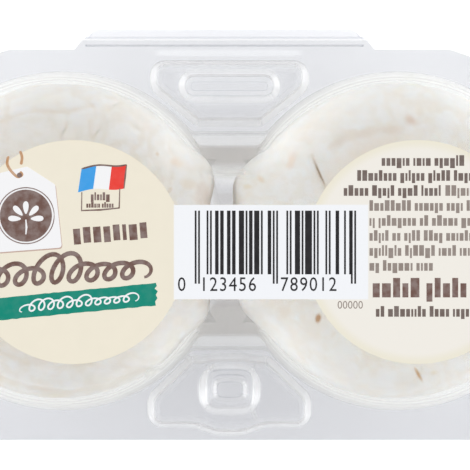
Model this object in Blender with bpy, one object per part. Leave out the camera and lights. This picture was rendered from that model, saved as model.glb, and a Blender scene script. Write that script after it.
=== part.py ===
"""A clear hinged pack that holds two small round goat cheeses under a paper label.

Lengths are in metres and +Z is up. +X runs along the pack and +Y points to its hinge.
Every outline is drawn about the middle between the two cups. The pack is then moved so
that the origin is the middle of its footprint, on the table.

The tray and the lid are each one formed sheet. Both faces of a sheet come from the same
outlines: its lower face has them moved sideways and down by the thickness of the sheet.
"""

from math import atan2, cos, pi, radians, sin, sqrt, tan

import bmesh
import bpy
from mathutils import Vector, noise
from mathutils.geometry import delaunay_2d_cdt

MM = 0.001

# The sheet and the room between pieces
SHEET = 0.5 * MM
GAP = 0.3 * MM
NEST_ROOM = 0.5 * MM

# The cheeses
CHEESE_BELLY = 25.6 * MM
CHEESE_SHOULDER = 25.2 * MM
CHEESE_FOOT_SIDE = 24.7 * MM
CHEESE_HEIGHT = 29.5 * MM
CHEESE_TOP_ROUND = 6.4 * MM
CHEESE_FOOT_ROUND = 4.5 * MM
CHEESE_RELIEF = 0.5 * MM
CHEESE_DISH = 0.5 * MM
CHEESE_SHIFT = 0.15 * MM
CHEESE_SIDE_STEPS = 6
CHEESE_SEGMENTS = 56

# Where a cheese's side stands out or is pressed in: degrees from the direction of the other
# cheese, degrees to each side of that, and how far out
LEFT_SWELLS = ((0.0, 26.0, -2.0 * MM), (27.0, 13.0, 1.3 * MM), (-28.0, 13.0, 1.1 * MM))
RIGHT_SWELLS = ((0.0, 20.0, 0.8 * MM), (20.0, 20.0, 2.6 * MM), (-21.0, 20.0, 1.8 * MM))
SWELL_LOW = 14.5 * MM
SWELL_FULL = 19.5 * MM

# The cups and the domes over them, each pair joined by a neck
CUP_X = 26.9 * MM
MOUTH_RADIUS = 26.4 * MM
CUP_FOOT_RADIUS = 25.2 * MM
CUP_FOOT_ROUND = 3.5 * MM
DOME_RADIUS = 27.1 * MM
DOME_TOP_RADIUS = 19.7 * MM
DOME_ROUND = 6.5 * MM
DOME_RISE = 11.35 * MM
NECK_BASE = 17.5 * MM
NECK_END = 10.2 * MM
NECK_FILLET_BASE = 1.5 * MM
NECK_FILLET_END = 6.0 * MM
TROUGH_MOUTH = 15.2 * MM
TROUGH_DEPTH = 8.0 * MM
TROUGH_FILLET = 3.0 * MM

# The flange round the cups
END_RADIUS = 32.0 * MM
BACK_EDGE = 30.85 * MM
FRONT_EDGE = 32.1 * MM
FRONT_CORNER = 12.0 * MM

# The hinge along the back edge
TAB_CENTRE = -0.8 * MM
TAB_HALF = 24.2 * MM
TAB_SLANT = 0.8
BEAD_RADIUS = 0.75 * MM
BACK_REACH = 34.1 * MM

# The bosses between the cups: half widths and distances from the row of cups
BOSS_RISE = 3.0 * MM
BOSS_RUN = 0.8 * MM
BACK_BOSS = (5.3 * MM, 12.7 * MM, 18.5 * MM, 24.4 * MM, 29.0 * MM)
FRONT_BOSS = (6.3 * MM, 13.1 * MM, 18.5 * MM, 24.9 * MM, 30.0 * MM)
FRONT_SWELL = (2.4 * MM, 4.6 * MM, 18.1 * MM)
FRONT_BULGE = (3.0 * MM, 5.2 * MM, 31.3 * MM)
INNER_ROUND = 2.0 * MM
WAIST_ROUND = 3.0 * MM
OUTER_ROUND = 2.4 * MM
LEAST_ROUND = 0.3 * MM

# The bar raised on the back boss
BAR_FOOT = (24.7 * MM, 8.4 * MM, 2.7 * MM)
BAR_HEAD = (24.5 * MM, 6.9 * MM, 1.8 * MM)
BAR_RISE = 0.9 * MM

# The snap on the front boss
SNAP_Y = -23.95 * MM
SNAP_HALF_X = 5.3 * MM
SNAP_HALF_Y = 5.0 * MM
SNAP_TOP_HALF = 3.3 * MM
SNAP_TOP_SHIFT = (0.1 * MM, 0.55 * MM)
SNAP_RISE = 1.6 * MM
SNAP_SQUARENESS = 5.0
PIP_HALF_X = 2.6 * MM
PIP_HALF_Y = 2.0 * MM
PIP_RISE = 0.5 * MM
PIP_RUN = 0.3 * MM

# The label
LABEL_THICKNESS = 0.2 * MM
LABEL_RADIUS = 17.4 * MM
LABEL_X = 26.75 * MM
LABEL_NECK = 7.35 * MM
LABEL_FILLET = 0.4 * MM
LABEL_SHIFT = (2.5 * MM, -1.7 * MM)

# Steps round the curves
ARC_STEPS = 18
FILLET_STEPS = 3
CORNER_STEPS = 4
NECK_ARC_STEPS = 8
SHOULDER_STEPS = 6
FOOT_STEPS = 4
SNAP_STEPS = 28
BEAD_STEPS = 11

# Heights that follow from the sizes above
CHEESE_FOOT = SHEET + GAP
LID_TOP = CHEESE_FOOT + CHEESE_HEIGHT + GAP + SHEET
LID_FLANGE = LID_TOP - DOME_RISE
TRAY_FLANGE = LID_FLANGE - SHEET - GAP
HINGE_Y = BACK_REACH - BEAD_RADIUS
HINGE_Z = TRAY_FLANGE + GAP / 2
ROW_Y = (FRONT_EDGE - BACK_REACH) / 2


def material(name, colour, roughness, alpha=1.0):
    """A plain material for one piece."""
    made = bpy.data.materials.new(name)
    made.use_nodes = True
    shader = made.node_tree.nodes["Principled BSDF"]
    shader.inputs["Base Color"].default_value = (*colour, 1.0)
    shader.inputs["Roughness"].default_value = roughness
    shader.inputs["Metallic"].default_value = 0.0
    shader.inputs["Alpha"].default_value = alpha
    made.diffuse_color = (*colour, alpha)
    return made


def ring(bm, outline, height):
    """Adds a closed loop of points at one height."""
    return [bm.verts.new((x, y, height)) for x, y in outline]


def wall(bm, first, second):
    """Joins two loops of as many points by a band of faces."""
    for i in range(len(first)):
        bm.faces.new((first[i - 1], first[i], second[i], second[i - 1]))


def encloses(loop, spot):
    """Whether a closed loop goes round a spot."""
    odd = False
    for first, second in zip(loop, [*loop[1:], loop[0]]):
        if (first.y > spot.y) != (second.y > spot.y):
            share = (spot.y - first.y) / (second.y - first.y)
            if spot.x < first.x + (second.x - first.x) * share:
                odd = not odd
    return odd


def fill(bm, outer, *holes):
    """Covers the level space inside the outer loop and outside the holes with triangles."""
    points = []
    edges = []
    for loop in (outer, *holes):
        start = len(points)
        edges += [(start + i, start + (i + 1) % len(loop)) for i in range(len(loop))]
        points += loop
    found = delaunay_2d_cdt([point.co.xy for point in points], edges, [], 1, 1e-9)
    outlines = [[point.co.xy for point in loop] for loop in (outer, *holes)]
    for corners in found[2]:
        spot = sum((found[0][i] for i in corners), Vector((0.0, 0.0))) / len(corners)
        if encloses(outlines[0], spot) and not any(encloses(hole, spot) for hole in outlines[1:]):
            bm.faces.new([points[found[3][i][0]] for i in corners])


def finish(name, bm, finish_material, parent, shift=(0.0, 0.0, 0.0)):
    """Turns the faces outwards and makes the named object under its parent."""
    bmesh.ops.translate(bm, verts=bm.verts, vec=shift)
    bmesh.ops.recalc_face_normals(bm, faces=bm.faces)
    mesh = bpy.data.meshes.new(name)
    bm.to_mesh(mesh)
    bm.free()
    mesh.materials.append(finish_material)
    mesh.shade_smooth()
    mesh.set_sharp_from_angle(angle=radians(28))
    made = bpy.data.objects.new(name, mesh)
    made.parent = parent
    bpy.context.scene.collection.objects.link(made)
    return made


def empty(name, place, parent=None):
    """An empty that pieces are placed on."""
    made = bpy.data.objects.new(name, None)
    made.location = place
    made.parent = parent
    bpy.context.scene.collection.objects.link(made)
    return made


def arc(centre, radius, start, end, steps):
    """Points along an arc, both ends among them. Angles are in radians."""
    angles = [start + (end - start) * i / steps for i in range(steps + 1)]
    return [(centre[0] + radius * cos(a), centre[1] + radius * sin(a)) for a in angles]


def rounded(corners, radii, inset):
    """A polygon with rounded corners whose sides are moved in. Its corners run anticlockwise."""
    points = [Vector(corner) for corner in corners]
    runs = [(points[(i + 1) % len(points)] - p).normalized() for i, p in enumerate(points)]
    outline = []
    for i, point in enumerate(points):
        before = runs[i - 1]
        after = runs[i]
        turn = atan2(before.cross(after), before.dot(after))
        out = Vector((before.y, -before.x))
        corner = point - out * inset + before * inset * tan(turn / 2) * -1
        side = 1 if turn > 0 else -1
        radius = max(radii[i] - side * inset, LEAST_ROUND)
        start = corner - before * radius * tan(abs(turn) / 2)
        centre = start - out * radius * side
        first = atan2(start.y - centre.y, start.x - centre.x)
        outline += arc(centre, radius, first, first + turn, CORNER_STEPS)
    return outline


def squared_ring(centre, half_x, half_y, power):
    """A ring that is an ellipse at power 2 and nears a rectangle as the power grows."""
    outline = []
    for i in range(SNAP_STEPS):
        angle = 2 * pi * (i + 0.5) / SNAP_STEPS
        reach = (abs(cos(angle)) ** power + abs(sin(angle)) ** power) ** (-1 / power)
        outline.append((centre[0] + half_x * reach * cos(angle), centre[1] + half_y * reach * sin(angle)))
    return outline


def neck_turn(radius, neck, fillet, spread):
    """Where a fillet between circle and neck is centred along X, and the circle's angle there."""
    fillet_x = spread - sqrt((radius + fillet) ** 2 - (neck + fillet) ** 2)
    return fillet_x, atan2(neck + fillet, fillet_x - spread)


def quarter_turned(quarter):
    """The whole outline that has this quarter in each corner, anticlockwise from +X."""
    across = [(-x, y) for x, y in reversed(quarter)]
    return [*quarter, *across, *((-x, -y) for x, y in quarter), *((-x, -y) for x, y in across)]


def pair_outline(radius, neck, fillet, spread=CUP_X):
    """The outline round two circles and the neck that joins them."""
    fillet_x, turn = neck_turn(radius, neck, fillet, spread)
    angles = [turn * (i + 0.5) / ARC_STEPS for i in range(ARC_STEPS)]
    quarter = [(spread + radius * cos(a), radius * sin(a)) for a in angles]
    quarter += arc((fillet_x, neck + fillet), fillet, turn - pi, -pi / 2, FILLET_STEPS)
    return quarter_turned(quarter)


def flange_outline(tab_edge):
    """The flange's outline with the hinge tab out to tab_edge, and where the tab's edge starts."""
    end_x = CUP_X + END_RADIUS
    corner = (end_x - FRONT_CORNER, FRONT_CORNER - FRONT_EDGE)
    back_turn = atan2(BACK_EDGE, sqrt(END_RADIUS ** 2 - BACK_EDGE ** 2))
    half = arc(corner, FRONT_CORNER, -pi / 2, 0.0, 2 * CORNER_STEPS)
    half += arc((CUP_X, 0.0), END_RADIUS, 0.0, back_turn, ARC_STEPS)
    tab = tab_half(tab_edge)
    tab_right = [(TAB_CENTRE + TAB_HALF, BACK_EDGE), (TAB_CENTRE + tab, tab_edge)]
    tab_left = [(TAB_CENTRE - tab, tab_edge), (TAB_CENTRE - TAB_HALF, BACK_EDGE)]
    outline = [*half, *tab_right, *tab_left, *((-x, y) for x, y in reversed(half))]
    return outline, len(half) + 1


def tab_half(reach):
    """Half the hinge tab's length at a distance from the row of cups."""
    return TAB_HALF - TAB_SLANT * (reach - BACK_EDGE)


def boss_outline(sizes, side, inset, swell=None, bulge=None):
    """A boss's outline: narrow near the row of cups, wide near the edge. side is +1 at the back."""
    inner_x, outer_x, inner_y, waist_y, outer_y = sizes
    half = [(inner_x, inner_y), (outer_x, waist_y), (outer_x, outer_y)]
    radii = [INNER_ROUND, WAIST_ROUND, OUTER_ROUND]
    if swell:
        end_x, start_x, swell_y = swell
        half = [(end_x, swell_y), (start_x, inner_y), *half]
        radii = [INNER_ROUND, INNER_ROUND, *radii]
    if bulge:
        end_x, start_x, bulge_y = bulge
        half += [(start_x, outer_y), (end_x, bulge_y)]
        radii += [OUTER_ROUND, OUTER_ROUND]
    corners = [*half, *((-x, y) for x, y in reversed(half))]
    radii = [*radii, *reversed(radii)]
    if side < 0:
        corners = [(x, -y) for x, y in reversed(corners)]
        radii = radii[::-1]
    return rounded(corners, radii, inset)


def bar_outline(sizes, inset):
    """The outline of the bar on the back boss, with round ends."""
    middle, half_x, half_y = sizes
    corners = [(-half_x, middle - half_y), (half_x, middle - half_y)]
    corners += [(half_x, middle + half_y), (-half_x, middle + half_y)]
    return rounded(corners, [half_y - LEAST_ROUND] * 4, inset)


def back_boss(bm, inset, flange):
    """Adds one face of the boss by the hinge and returns the loop where it leaves the flange."""
    plateau = flange + BOSS_RISE
    base = ring(bm, boss_outline(BACK_BOSS, 1, inset), flange)
    top = ring(bm, boss_outline(BACK_BOSS, 1, inset + BOSS_RUN), plateau)
    bar_foot = ring(bm, bar_outline(BAR_FOOT, inset), plateau)
    bar_head = ring(bm, bar_outline(BAR_HEAD, inset), plateau + BAR_RISE)
    wall(bm, base, top)
    fill(bm, top, bar_foot)
    wall(bm, bar_foot, bar_head)
    fill(bm, bar_head)
    return base


def snap_ring(bm, half_x, half_y, squareness, shift, height):
    """Adds one loop of the snap."""
    centre = (shift[0], SNAP_Y + shift[1])
    return ring(bm, squared_ring(centre, half_x, half_y, squareness), height)


def front_boss(bm, inset, flange, with_pip):
    """Adds one face of the boss that holds the snap and returns the loop where it leaves the flange."""
    plateau = flange + BOSS_RISE
    snap_top = plateau + SNAP_RISE
    swells = (FRONT_SWELL, FRONT_BULGE)
    base = ring(bm, boss_outline(FRONT_BOSS, -1, inset, *swells), flange)
    top = ring(bm, boss_outline(FRONT_BOSS, -1, inset + BOSS_RUN, *swells), plateau)
    foot = snap_ring(bm, SNAP_HALF_X - inset, SNAP_HALF_Y - inset, 2.0, (0.0, 0.0), plateau)
    half = SNAP_TOP_HALF - inset
    head = snap_ring(bm, half, half, SNAP_SQUARENESS, SNAP_TOP_SHIFT, snap_top)
    wall(bm, base, top)
    fill(bm, top, foot)
    wall(bm, foot, head)
    if not with_pip:
        fill(bm, head)
        return base
    reach = (PIP_HALF_X - inset, PIP_HALF_Y - inset)
    pip_foot = snap_ring(bm, *reach, SNAP_SQUARENESS, SNAP_TOP_SHIFT, snap_top)
    end = [size - PIP_RUN for size in reach]
    pip_head = snap_ring(bm, *end, SNAP_SQUARENESS, SNAP_TOP_SHIFT, snap_top + PIP_RISE)
    fill(bm, head, pip_foot)
    wall(bm, pip_foot, pip_head)
    fill(bm, pip_head)
    return base


def domes(bm, inset, flange, top):
    """Adds one face of the two domes and their neck and returns the loop at the flange."""
    round_z = LID_TOP - DOME_ROUND
    bend = DOME_ROUND - inset
    steps = [(DOME_RADIUS - inset, flange)]
    for i in range(SHOULDER_STEPS + 1):
        angle = pi / 2 * i / SHOULDER_STEPS
        steps.append((DOME_TOP_RADIUS + bend * cos(angle), round_z + bend * sin(angle)))
    loops = []
    for radius, height in steps:
        share = (height - flange) / (top - flange)
        neck = NECK_BASE + (NECK_END - NECK_BASE) * share - inset
        fillet = NECK_FILLET_BASE + (NECK_FILLET_END - NECK_FILLET_BASE) * share + inset
        loops.append(ring(bm, pair_outline(radius, neck, fillet), height))
    for lower, upper in zip(loops, loops[1:]):
        wall(bm, lower, upper)
    fill(bm, loops[-1])
    return loops[0]


def cup_radius(height):
    """The inner radius of a cup's wall at a height."""
    foot = SHEET + CUP_FOOT_ROUND
    share = (height - foot) / (TRAY_FLANGE - foot)
    return CUP_FOOT_RADIUS + (MOUTH_RADIUS - CUP_FOOT_RADIUS) * share


def cup_loop(bm, side, radius, height, turn):
    """Adds one whole loop of a cup. Its first points are those that the outline of the pair has."""
    count = 2 * ARC_STEPS
    angles = [turn * (2 * (i + 0.5) / count - 1) for i in range(count)]
    angles += [turn + 2 * (pi - turn) * (i + 0.5) / NECK_ARC_STEPS for i in range(NECK_ARC_STEPS)]
    outline = [(side * (CUP_X + radius * cos(a)), side * radius * sin(a)) for a in angles]
    return ring(bm, outline, height)


def cups(bm, outset, flange):
    """Adds one face of the two cups and the trough between them and returns the loop at the flange."""
    fillet = TROUGH_FILLET - outset
    floor = flange - TROUGH_DEPTH
    radius = cup_radius(floor + outset) + outset
    mouth_neck = TROUGH_MOUTH + outset
    mouth_fillet = NECK_FILLET_BASE + SHEET - outset
    mouth = ring(bm, pair_outline(MOUTH_RADIUS + outset, mouth_neck, mouth_fillet), flange)
    trough = ring(bm, pair_outline(radius, NECK_END + outset, fillet), floor)
    wall(bm, mouth, trough)
    turn = neck_turn(radius, NECK_END + outset, fillet, CUP_X)[1]
    fillet_count = 2 * (FILLET_STEPS + 1)
    quarter = ARC_STEPS + FILLET_STEPS + 1
    rounds = {1: trough[-ARC_STEPS:] + trough[:ARC_STEPS]}
    rounds[-1] = trough[2 * quarter - ARC_STEPS:2 * quarter + ARC_STEPS]
    necks = [trough[ARC_STEPS:ARC_STEPS + fillet_count]]
    necks.append(trough[2 * quarter + ARC_STEPS:2 * quarter + ARC_STEPS + fillet_count])
    inner = {}
    for side in (1, -1):
        whole = cup_loop(bm, side, radius, floor, turn)
        inner[side] = whole[2 * ARC_STEPS:]
        bmesh.ops.delete(bm, geom=whole[:2 * ARC_STEPS], context="VERTS")
        one_cup(bm, side, rounds[side] + inner[side], outset, turn)
    edge = [rounds[1][-1], *necks[0], rounds[-1][0], *reversed(inner[-1])]
    edge += [rounds[-1][-1], *necks[1], rounds[1][0], *reversed(inner[1])]
    fill(bm, edge)
    return mouth


def one_cup(bm, side, start, outset, turn):
    """Adds a cup's wall and floor below the trough."""
    centre = (CUP_FOOT_RADIUS - CUP_FOOT_ROUND, SHEET + CUP_FOOT_ROUND)
    bend = CUP_FOOT_ROUND + outset
    last = start
    for i in range(FOOT_STEPS + 1):
        angle = pi / 2 * i / FOOT_STEPS
        radius = centre[0] + bend * cos(angle)
        loop = cup_loop(bm, side, radius, centre[1] - bend * sin(angle), turn)
        wall(bm, last, loop)
        last = loop
    fill(bm, last)


def bead(bm, upper, lower, start):
    """Adds the round bead along the tab's edge, where the lid's sheet and the tray's fold together."""
    from_angle = atan2(upper[start].co.z - HINGE_Z, upper[start].co.y - HINGE_Y) + 2 * pi
    to_angle = atan2(lower[start].co.z - HINGE_Z, lower[start].co.y - HINGE_Y)
    rows = []
    for i in range(1, BEAD_STEPS):
        angle = from_angle + (to_angle - from_angle) * i / BEAD_STEPS
        y = HINGE_Y + BEAD_RADIUS * cos(angle)
        z = HINGE_Z + BEAD_RADIUS * sin(angle)
        half = tab_half(y)
        rows.append([bm.verts.new((TAB_CENTRE + side * half, y, z)) for side in (1, -1)])
    ends = [[loop[start], loop[start + 1]] for loop in (upper, lower)]
    rows = [ends[0], *rows, ends[1]]
    for above, below in zip(rows, rows[1:]):
        bm.faces.new((above[0], above[1], below[1], below[0]))
    for end in (0, 1):
        bm.faces.new([row[end] for row in rows])


def bead_reach(height):
    """How far from the row of cups the bead's near side is at a height."""
    return HINGE_Y - sqrt(BEAD_RADIUS ** 2 - (height - HINGE_Z) ** 2)


def rim(bm, upper, lower, skip=None):
    """Joins the two faces of a sheet along its edge, apart from one length of it."""
    for i in range(len(upper)):
        if i != skip:
            j = (i + 1) % len(upper)
            bm.faces.new((upper[i], upper[j], lower[j], lower[i]))


def make_tray(parent):
    """The tray: two cups with a trough between them, its flange, its bosses and the hinge bead."""
    bm = bmesh.new()
    edges = []
    for depth in (0.0, SHEET):
        height = TRAY_FLANGE - depth
        nest = SHEET + NEST_ROOM + depth
        outline, start = flange_outline(bead_reach(height))
        edge = ring(bm, outline, height)
        holes = [cups(bm, depth, height), back_boss(bm, nest, height)]
        holes.append(front_boss(bm, nest, height, with_pip=False))
        fill(bm, edge, *holes)
        edges.append(edge)
    rim(bm, *edges, skip=start)
    bead(bm, *edges, start)
    return finish("tray", bm, material("clear_tray", (0.86, 0.89, 0.92), 0.08, 0.35), parent)


def make_lid(parent):
    """The lid: two domes with a neck between them, its flange and its bosses."""
    bm = bmesh.new()
    edges = []
    tab_edge = HINGE_Y - BEAD_RADIUS - GAP
    for depth in (0.0, SHEET):
        height = LID_FLANGE - depth
        edge = ring(bm, flange_outline(tab_edge)[0], height)
        holes = [domes(bm, depth, height, LID_TOP - depth), back_boss(bm, depth, height)]
        holes.append(front_boss(bm, depth, height, with_pip=True))
        fill(bm, edge, *holes)
        edges.append(edge)
    rim(bm, *edges)
    shift = (0.0, -HINGE_Y, -HINGE_Z)
    return finish("lid", bm, material("clear_lid", (0.88, 0.91, 0.94), 0.06, 0.3), parent, shift)


def make_label(parent):
    """The label: two discs and the strip between them, laid on the lid a little off its middle."""
    bm = bmesh.new()
    outline = pair_outline(LABEL_RADIUS, LABEL_NECK, LABEL_FILLET, LABEL_X)
    outline = [(x + LABEL_SHIFT[0], y + LABEL_SHIFT[1]) for x, y in outline]
    low = ring(bm, outline, LID_TOP + GAP)
    high = ring(bm, outline, LID_TOP + GAP + LABEL_THICKNESS)
    wall(bm, low, high)
    fill(bm, low)
    fill(bm, high)
    shift = (0.0, -HINGE_Y, -HINGE_Z)
    return finish("label", bm, material("label_paper", (0.88, 0.84, 0.72), 0.55), parent, shift)


def cheese_side(height):
    """The radius of a cheese's side at a height: widest half way between foot and shoulder."""
    low = CHEESE_FOOT + CHEESE_FOOT_ROUND
    high = CHEESE_FOOT + CHEESE_HEIGHT - CHEESE_TOP_ROUND
    middle = (low + high) / 2
    end = CHEESE_SHOULDER if height > middle else CHEESE_FOOT_SIDE
    return CHEESE_BELLY - (CHEESE_BELLY - end) * ((height - middle) / (high - middle)) ** 2


def cheese_profile():
    """Radius, height and the tilt of the surface down the side of a cheese, from top to foot."""
    top = CHEESE_FOOT + CHEESE_HEIGHT
    low = CHEESE_FOOT + CHEESE_FOOT_ROUND
    high = top - CHEESE_TOP_ROUND
    face = CHEESE_SHOULDER - CHEESE_TOP_ROUND
    base = CHEESE_FOOT_SIDE - CHEESE_FOOT_ROUND
    points = [(face * share, top - CHEESE_DISH * (1 - share ** 2), pi / 2) for share in (0.3, 0.6, 0.85)]
    for i in range(SHOULDER_STEPS + 1):
        tilt = pi / 2 * (1 - i / SHOULDER_STEPS)
        points.append((face + CHEESE_TOP_ROUND * cos(tilt), high + CHEESE_TOP_ROUND * sin(tilt), tilt))
    for i in range(1, CHEESE_SIDE_STEPS):
        height = high + (low - high) * i / CHEESE_SIDE_STEPS
        points.append((cheese_side(height), height, 0.0))
    for i in range(FOOT_STEPS + 1):
        tilt = -pi / 2 * i / FOOT_STEPS
        points.append((base + CHEESE_FOOT_ROUND * cos(tilt), low + CHEESE_FOOT_ROUND * sin(tilt), tilt))
    return [*points, (base / 2, CHEESE_FOOT, -pi / 2)]


def relief(spot, seed):
    """How far the rind lies inside the round form at a spot: broad dents and finer wrinkles."""
    broad = noise.noise(spot / (14 * MM) + Vector((seed, 0.0, 0.0)))
    fine = noise.noise(spot / (5 * MM) + Vector((0.0, seed, 0.0)))
    return CHEESE_RELIEF * min(max(0.5 + 0.45 * broad + 0.35 * fine, 0.0), 1.0)


def swell(swells, bearing, height):
    """How far a cheese's side stands out at a bearing from the other cheese. What stands out does
    so above the trough only; what is pressed in is so all the way down."""
    out = 0.0
    climb = min(max((height - SWELL_LOW) / (SWELL_FULL - SWELL_LOW), 0.0), 1.0)
    for middle, spread, amount in swells:
        away = min(abs(bearing - radians(middle)) / radians(spread), 1.0)
        share = climb * climb * (3 - 2 * climb) if amount > 0 else 1.0
        out += amount * share * cos(pi / 2 * away) ** 2
    return out


def make_cheese(name, side, seed, swells, parent):
    """One cheese: a low round with soft shoulders, a dished top and an uneven rind. side is -1 for
    the left cup."""
    bm = bmesh.new()
    centre_x = side * CUP_X - CHEESE_SHIFT
    loops = []
    for radius, height, tilt in cheese_profile():
        loop = []
        for i in range(CHEESE_SEGMENTS):
            angle = 2 * pi * i / CHEESE_SEGMENTS
            spot = Vector((radius * cos(angle), radius * sin(angle), height))
            steady = min(1.0, (height - CHEESE_FOOT) / CHEESE_FOOT_ROUND)
            dent = relief(spot, seed) * steady
            out = swell(swells, atan2(sin(angle), -side * cos(angle)), height) * steady
            reach = radius + (out - dent) * cos(tilt)
            loop.append((centre_x + reach * cos(angle), reach * sin(angle), height - dent * sin(tilt)))
        loops.append([bm.verts.new(place) for place in loop])
    for upper, lower in zip(loops, loops[1:]):
        wall(bm, upper, lower)
    middle = CHEESE_FOOT + CHEESE_HEIGHT - CHEESE_DISH - relief(Vector((0.0, 0.0, LID_TOP)), seed)
    top = bm.verts.new((centre_x, 0.0, middle))
    for i, point in enumerate(loops[0]):
        bm.faces.new((loops[0][i - 1], point, top))
    fill(bm, loops[-1])
    return finish(name, bm, material(name + "_rind", (0.83, 0.82, 0.77), 0.75), parent)


def main():
    """Clears the scene and builds the pack."""
    for old in list(bpy.data.objects):
        bpy.data.objects.remove(old)
    pack = empty("pack", (0.0, ROW_Y, 0.0))
    hinge = empty("hinge", (0.0, HINGE_Y, HINGE_Z), pack)
    make_tray(pack)
    make_lid(hinge)
    make_label(hinge)
    make_cheese("cheese_left", -1, 3.7, LEFT_SWELLS, pack)
    make_cheese("cheese_right", 1, 8.2, RIGHT_SWELLS, pack)


main()
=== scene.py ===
"""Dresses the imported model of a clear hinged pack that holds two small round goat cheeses.

Lengths are in metres and +Z is up. Outlines are drawn about the middle between the two cups, as
in the CAD model, and each finished mesh is then moved by ROW_Y.
"""

import logging
import random
from collections.abc import Callable, Sequence
from dataclasses import dataclass, field, replace
from enum import Enum
from math import atan2, cos, hypot, pi, radians, sin, sqrt, tan

import bmesh
import bpy
from bpy.types import ID, GeometryNodeTree, Material, Mesh, Node, NodeSocket, NodesModifier, NodeTree, Object
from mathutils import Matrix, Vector
from mathutils.geometry import delaunay_2d_cdt


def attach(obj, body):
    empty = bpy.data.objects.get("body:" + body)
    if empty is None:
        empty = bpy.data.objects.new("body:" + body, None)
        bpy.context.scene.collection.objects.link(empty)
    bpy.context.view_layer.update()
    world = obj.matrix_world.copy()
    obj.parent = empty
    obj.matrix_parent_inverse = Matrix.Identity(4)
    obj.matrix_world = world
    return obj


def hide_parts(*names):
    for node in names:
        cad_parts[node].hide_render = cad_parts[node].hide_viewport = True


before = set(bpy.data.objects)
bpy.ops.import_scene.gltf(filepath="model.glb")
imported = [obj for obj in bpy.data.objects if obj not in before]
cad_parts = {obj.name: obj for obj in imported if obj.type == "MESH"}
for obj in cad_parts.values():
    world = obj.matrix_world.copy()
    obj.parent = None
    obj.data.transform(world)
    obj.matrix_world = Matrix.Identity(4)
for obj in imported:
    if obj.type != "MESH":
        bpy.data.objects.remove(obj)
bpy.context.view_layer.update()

log = logging.getLogger("pack")

MM = 0.001
Pair = tuple[float, float]
Triple = tuple[float, float, float]
Outline = list[Pair]
Colour = tuple[float, float, float, float]
BMesh = bmesh.types.BMesh
Loop = list[bmesh.types.BMVert]

# The heights and places that the pieces share with the CAD model
SHEET = 0.5 * MM
GAP = 0.3 * MM
CUP_X = 26.9 * MM
CHEESE_FOOT = SHEET + GAP
CHEESE_HEIGHT = 29.5 * MM
LID_TOP = CHEESE_FOOT + CHEESE_HEIGHT + GAP + SHEET
DOME_RISE = 11.35 * MM
LID_FLANGE = LID_TOP - DOME_RISE
TRAY_FLANGE = LID_FLANGE - SHEET - GAP
BACK_EDGE = 30.85 * MM
FRONT_EDGE = 32.1 * MM
BACK_REACH = 34.1 * MM
BEAD_RADIUS = 0.75 * MM
HINGE_Y = BACK_REACH - BEAD_RADIUS
HINGE_Z = TRAY_FLANGE + GAP / 2
ROW_Y = (FRONT_EDGE - BACK_REACH) / 2


def linear(red: float, green: float, blue: float) -> Colour:
    """Turns a colour as a screen shows it, from 0 to 255, into the shader's own numbers.

    Args:
        red: The red share of the colour.
        green: The green share.
        blue: The blue share.

    Returns:
        The colour in linear light, with an alpha of 1.
    """
    shares = [value / 255 for value in (red, green, blue)]
    lit = [share / 12.92 if share <= 0.04045 else ((share + 0.055) / 1.055) ** 2.4 for share in shares]
    return (*lit, 1.0)


def mm(*values: float) -> tuple[float, ...]:
    """Turns millimetres into metres."""
    return tuple(value * MM for value in values)


class Graph:
    """A node tree that is being wired, for a material or for Geometry Nodes."""

    def __init__(self, tree: NodeTree) -> None:
        """Takes the tree to wire."""
        self.tree = tree

    def add(self, kind: str, inputs: dict[str | int, object] | None = None,
            **settings: object) -> Node:
        """Adds a node, with its inputs set or linked.

        Args:
            kind: The node's Blender type.
            inputs: Input names or numbers, each with a value or a socket that feeds it.
            settings: The node's own properties.

        Returns:
            The new node.
        """
        node = self.tree.nodes.new(kind)
        for name, value in settings.items():
            setattr(node, name, value)
        for key, value in (inputs or {}).items():
            if isinstance(value, NodeSocket):
                self.tree.links.new(value, node.inputs[key])
            else:
                node.inputs[key].default_value = value
        return node

    def math(self, operation: str, *values: object, clamp: bool = False) -> NodeSocket:
        """Adds a Math node for numbers or sockets, which can keep within 0 and 1, and returns its result."""
        node = self.add("ShaderNodeMath", dict(enumerate(values)), operation=operation, use_clamp=clamp)
        return node.outputs[0]

    def blend(self, share: object, first: object, second: object) -> NodeSocket:
        """Mixes two colours.

        Args:
            share: How much of the second colour there is.
            first: The colour at a share of 0.
            second: The colour at a share of 1.

        Returns:
            The socket with the mixed colour.
        """
        node = self.add("ShaderNodeMix", data_type="RGBA")
        for socket, value in zip([s for s in node.inputs if s.enabled], (share, first, second)):
            if isinstance(value, NodeSocket):
                self.tree.links.new(value, socket)
            else:
                socket.default_value = value
        return next(s for s in node.outputs if s.enabled)

    def ramp(self, value: object, low: float, high: float, to_low: float = 0.0, to_high: float = 1.0,
             smooth: bool = True) -> NodeSocket:
        """Maps a range of values onto another, and keeps within it.

        Args:
            value: The socket to map.
            low: The value that becomes to_low.
            high: The value that becomes to_high.
            to_low: The result at low.
            to_high: The result at high.
            smooth: Whether the ends are eased.

        Returns:
            The socket with the result.
        """
        kind = "SMOOTHSTEP" if smooth else "LINEAR"
        inputs = {"Value": value, "From Min": low, "From Max": high, "To Min": to_low, "To Max": to_high}
        return self.add("ShaderNodeMapRange", inputs, interpolation_type=kind).outputs[0]

    def noise(self, place: object, size: float, detail: float = 2.0, roughness: float = 0.5) -> NodeSocket:
        """Adds a noise pattern of a size in metres and returns its values, which lie round 0.5."""
        inputs = {"Vector": place, "Scale": 1 / size, "Detail": detail, "Roughness": roughness}
        return self.add("ShaderNodeTexNoise", inputs).outputs[0]


def new_material(name: str) -> tuple[Material, Graph]:
    """Makes an empty material.

    Args:
        name: The material's name.

    Returns:
        The material and its graph.
    """
    material = bpy.data.materials.new(name)
    material.use_nodes = True
    material.node_tree.nodes.clear()
    return material, Graph(material.node_tree)


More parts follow.
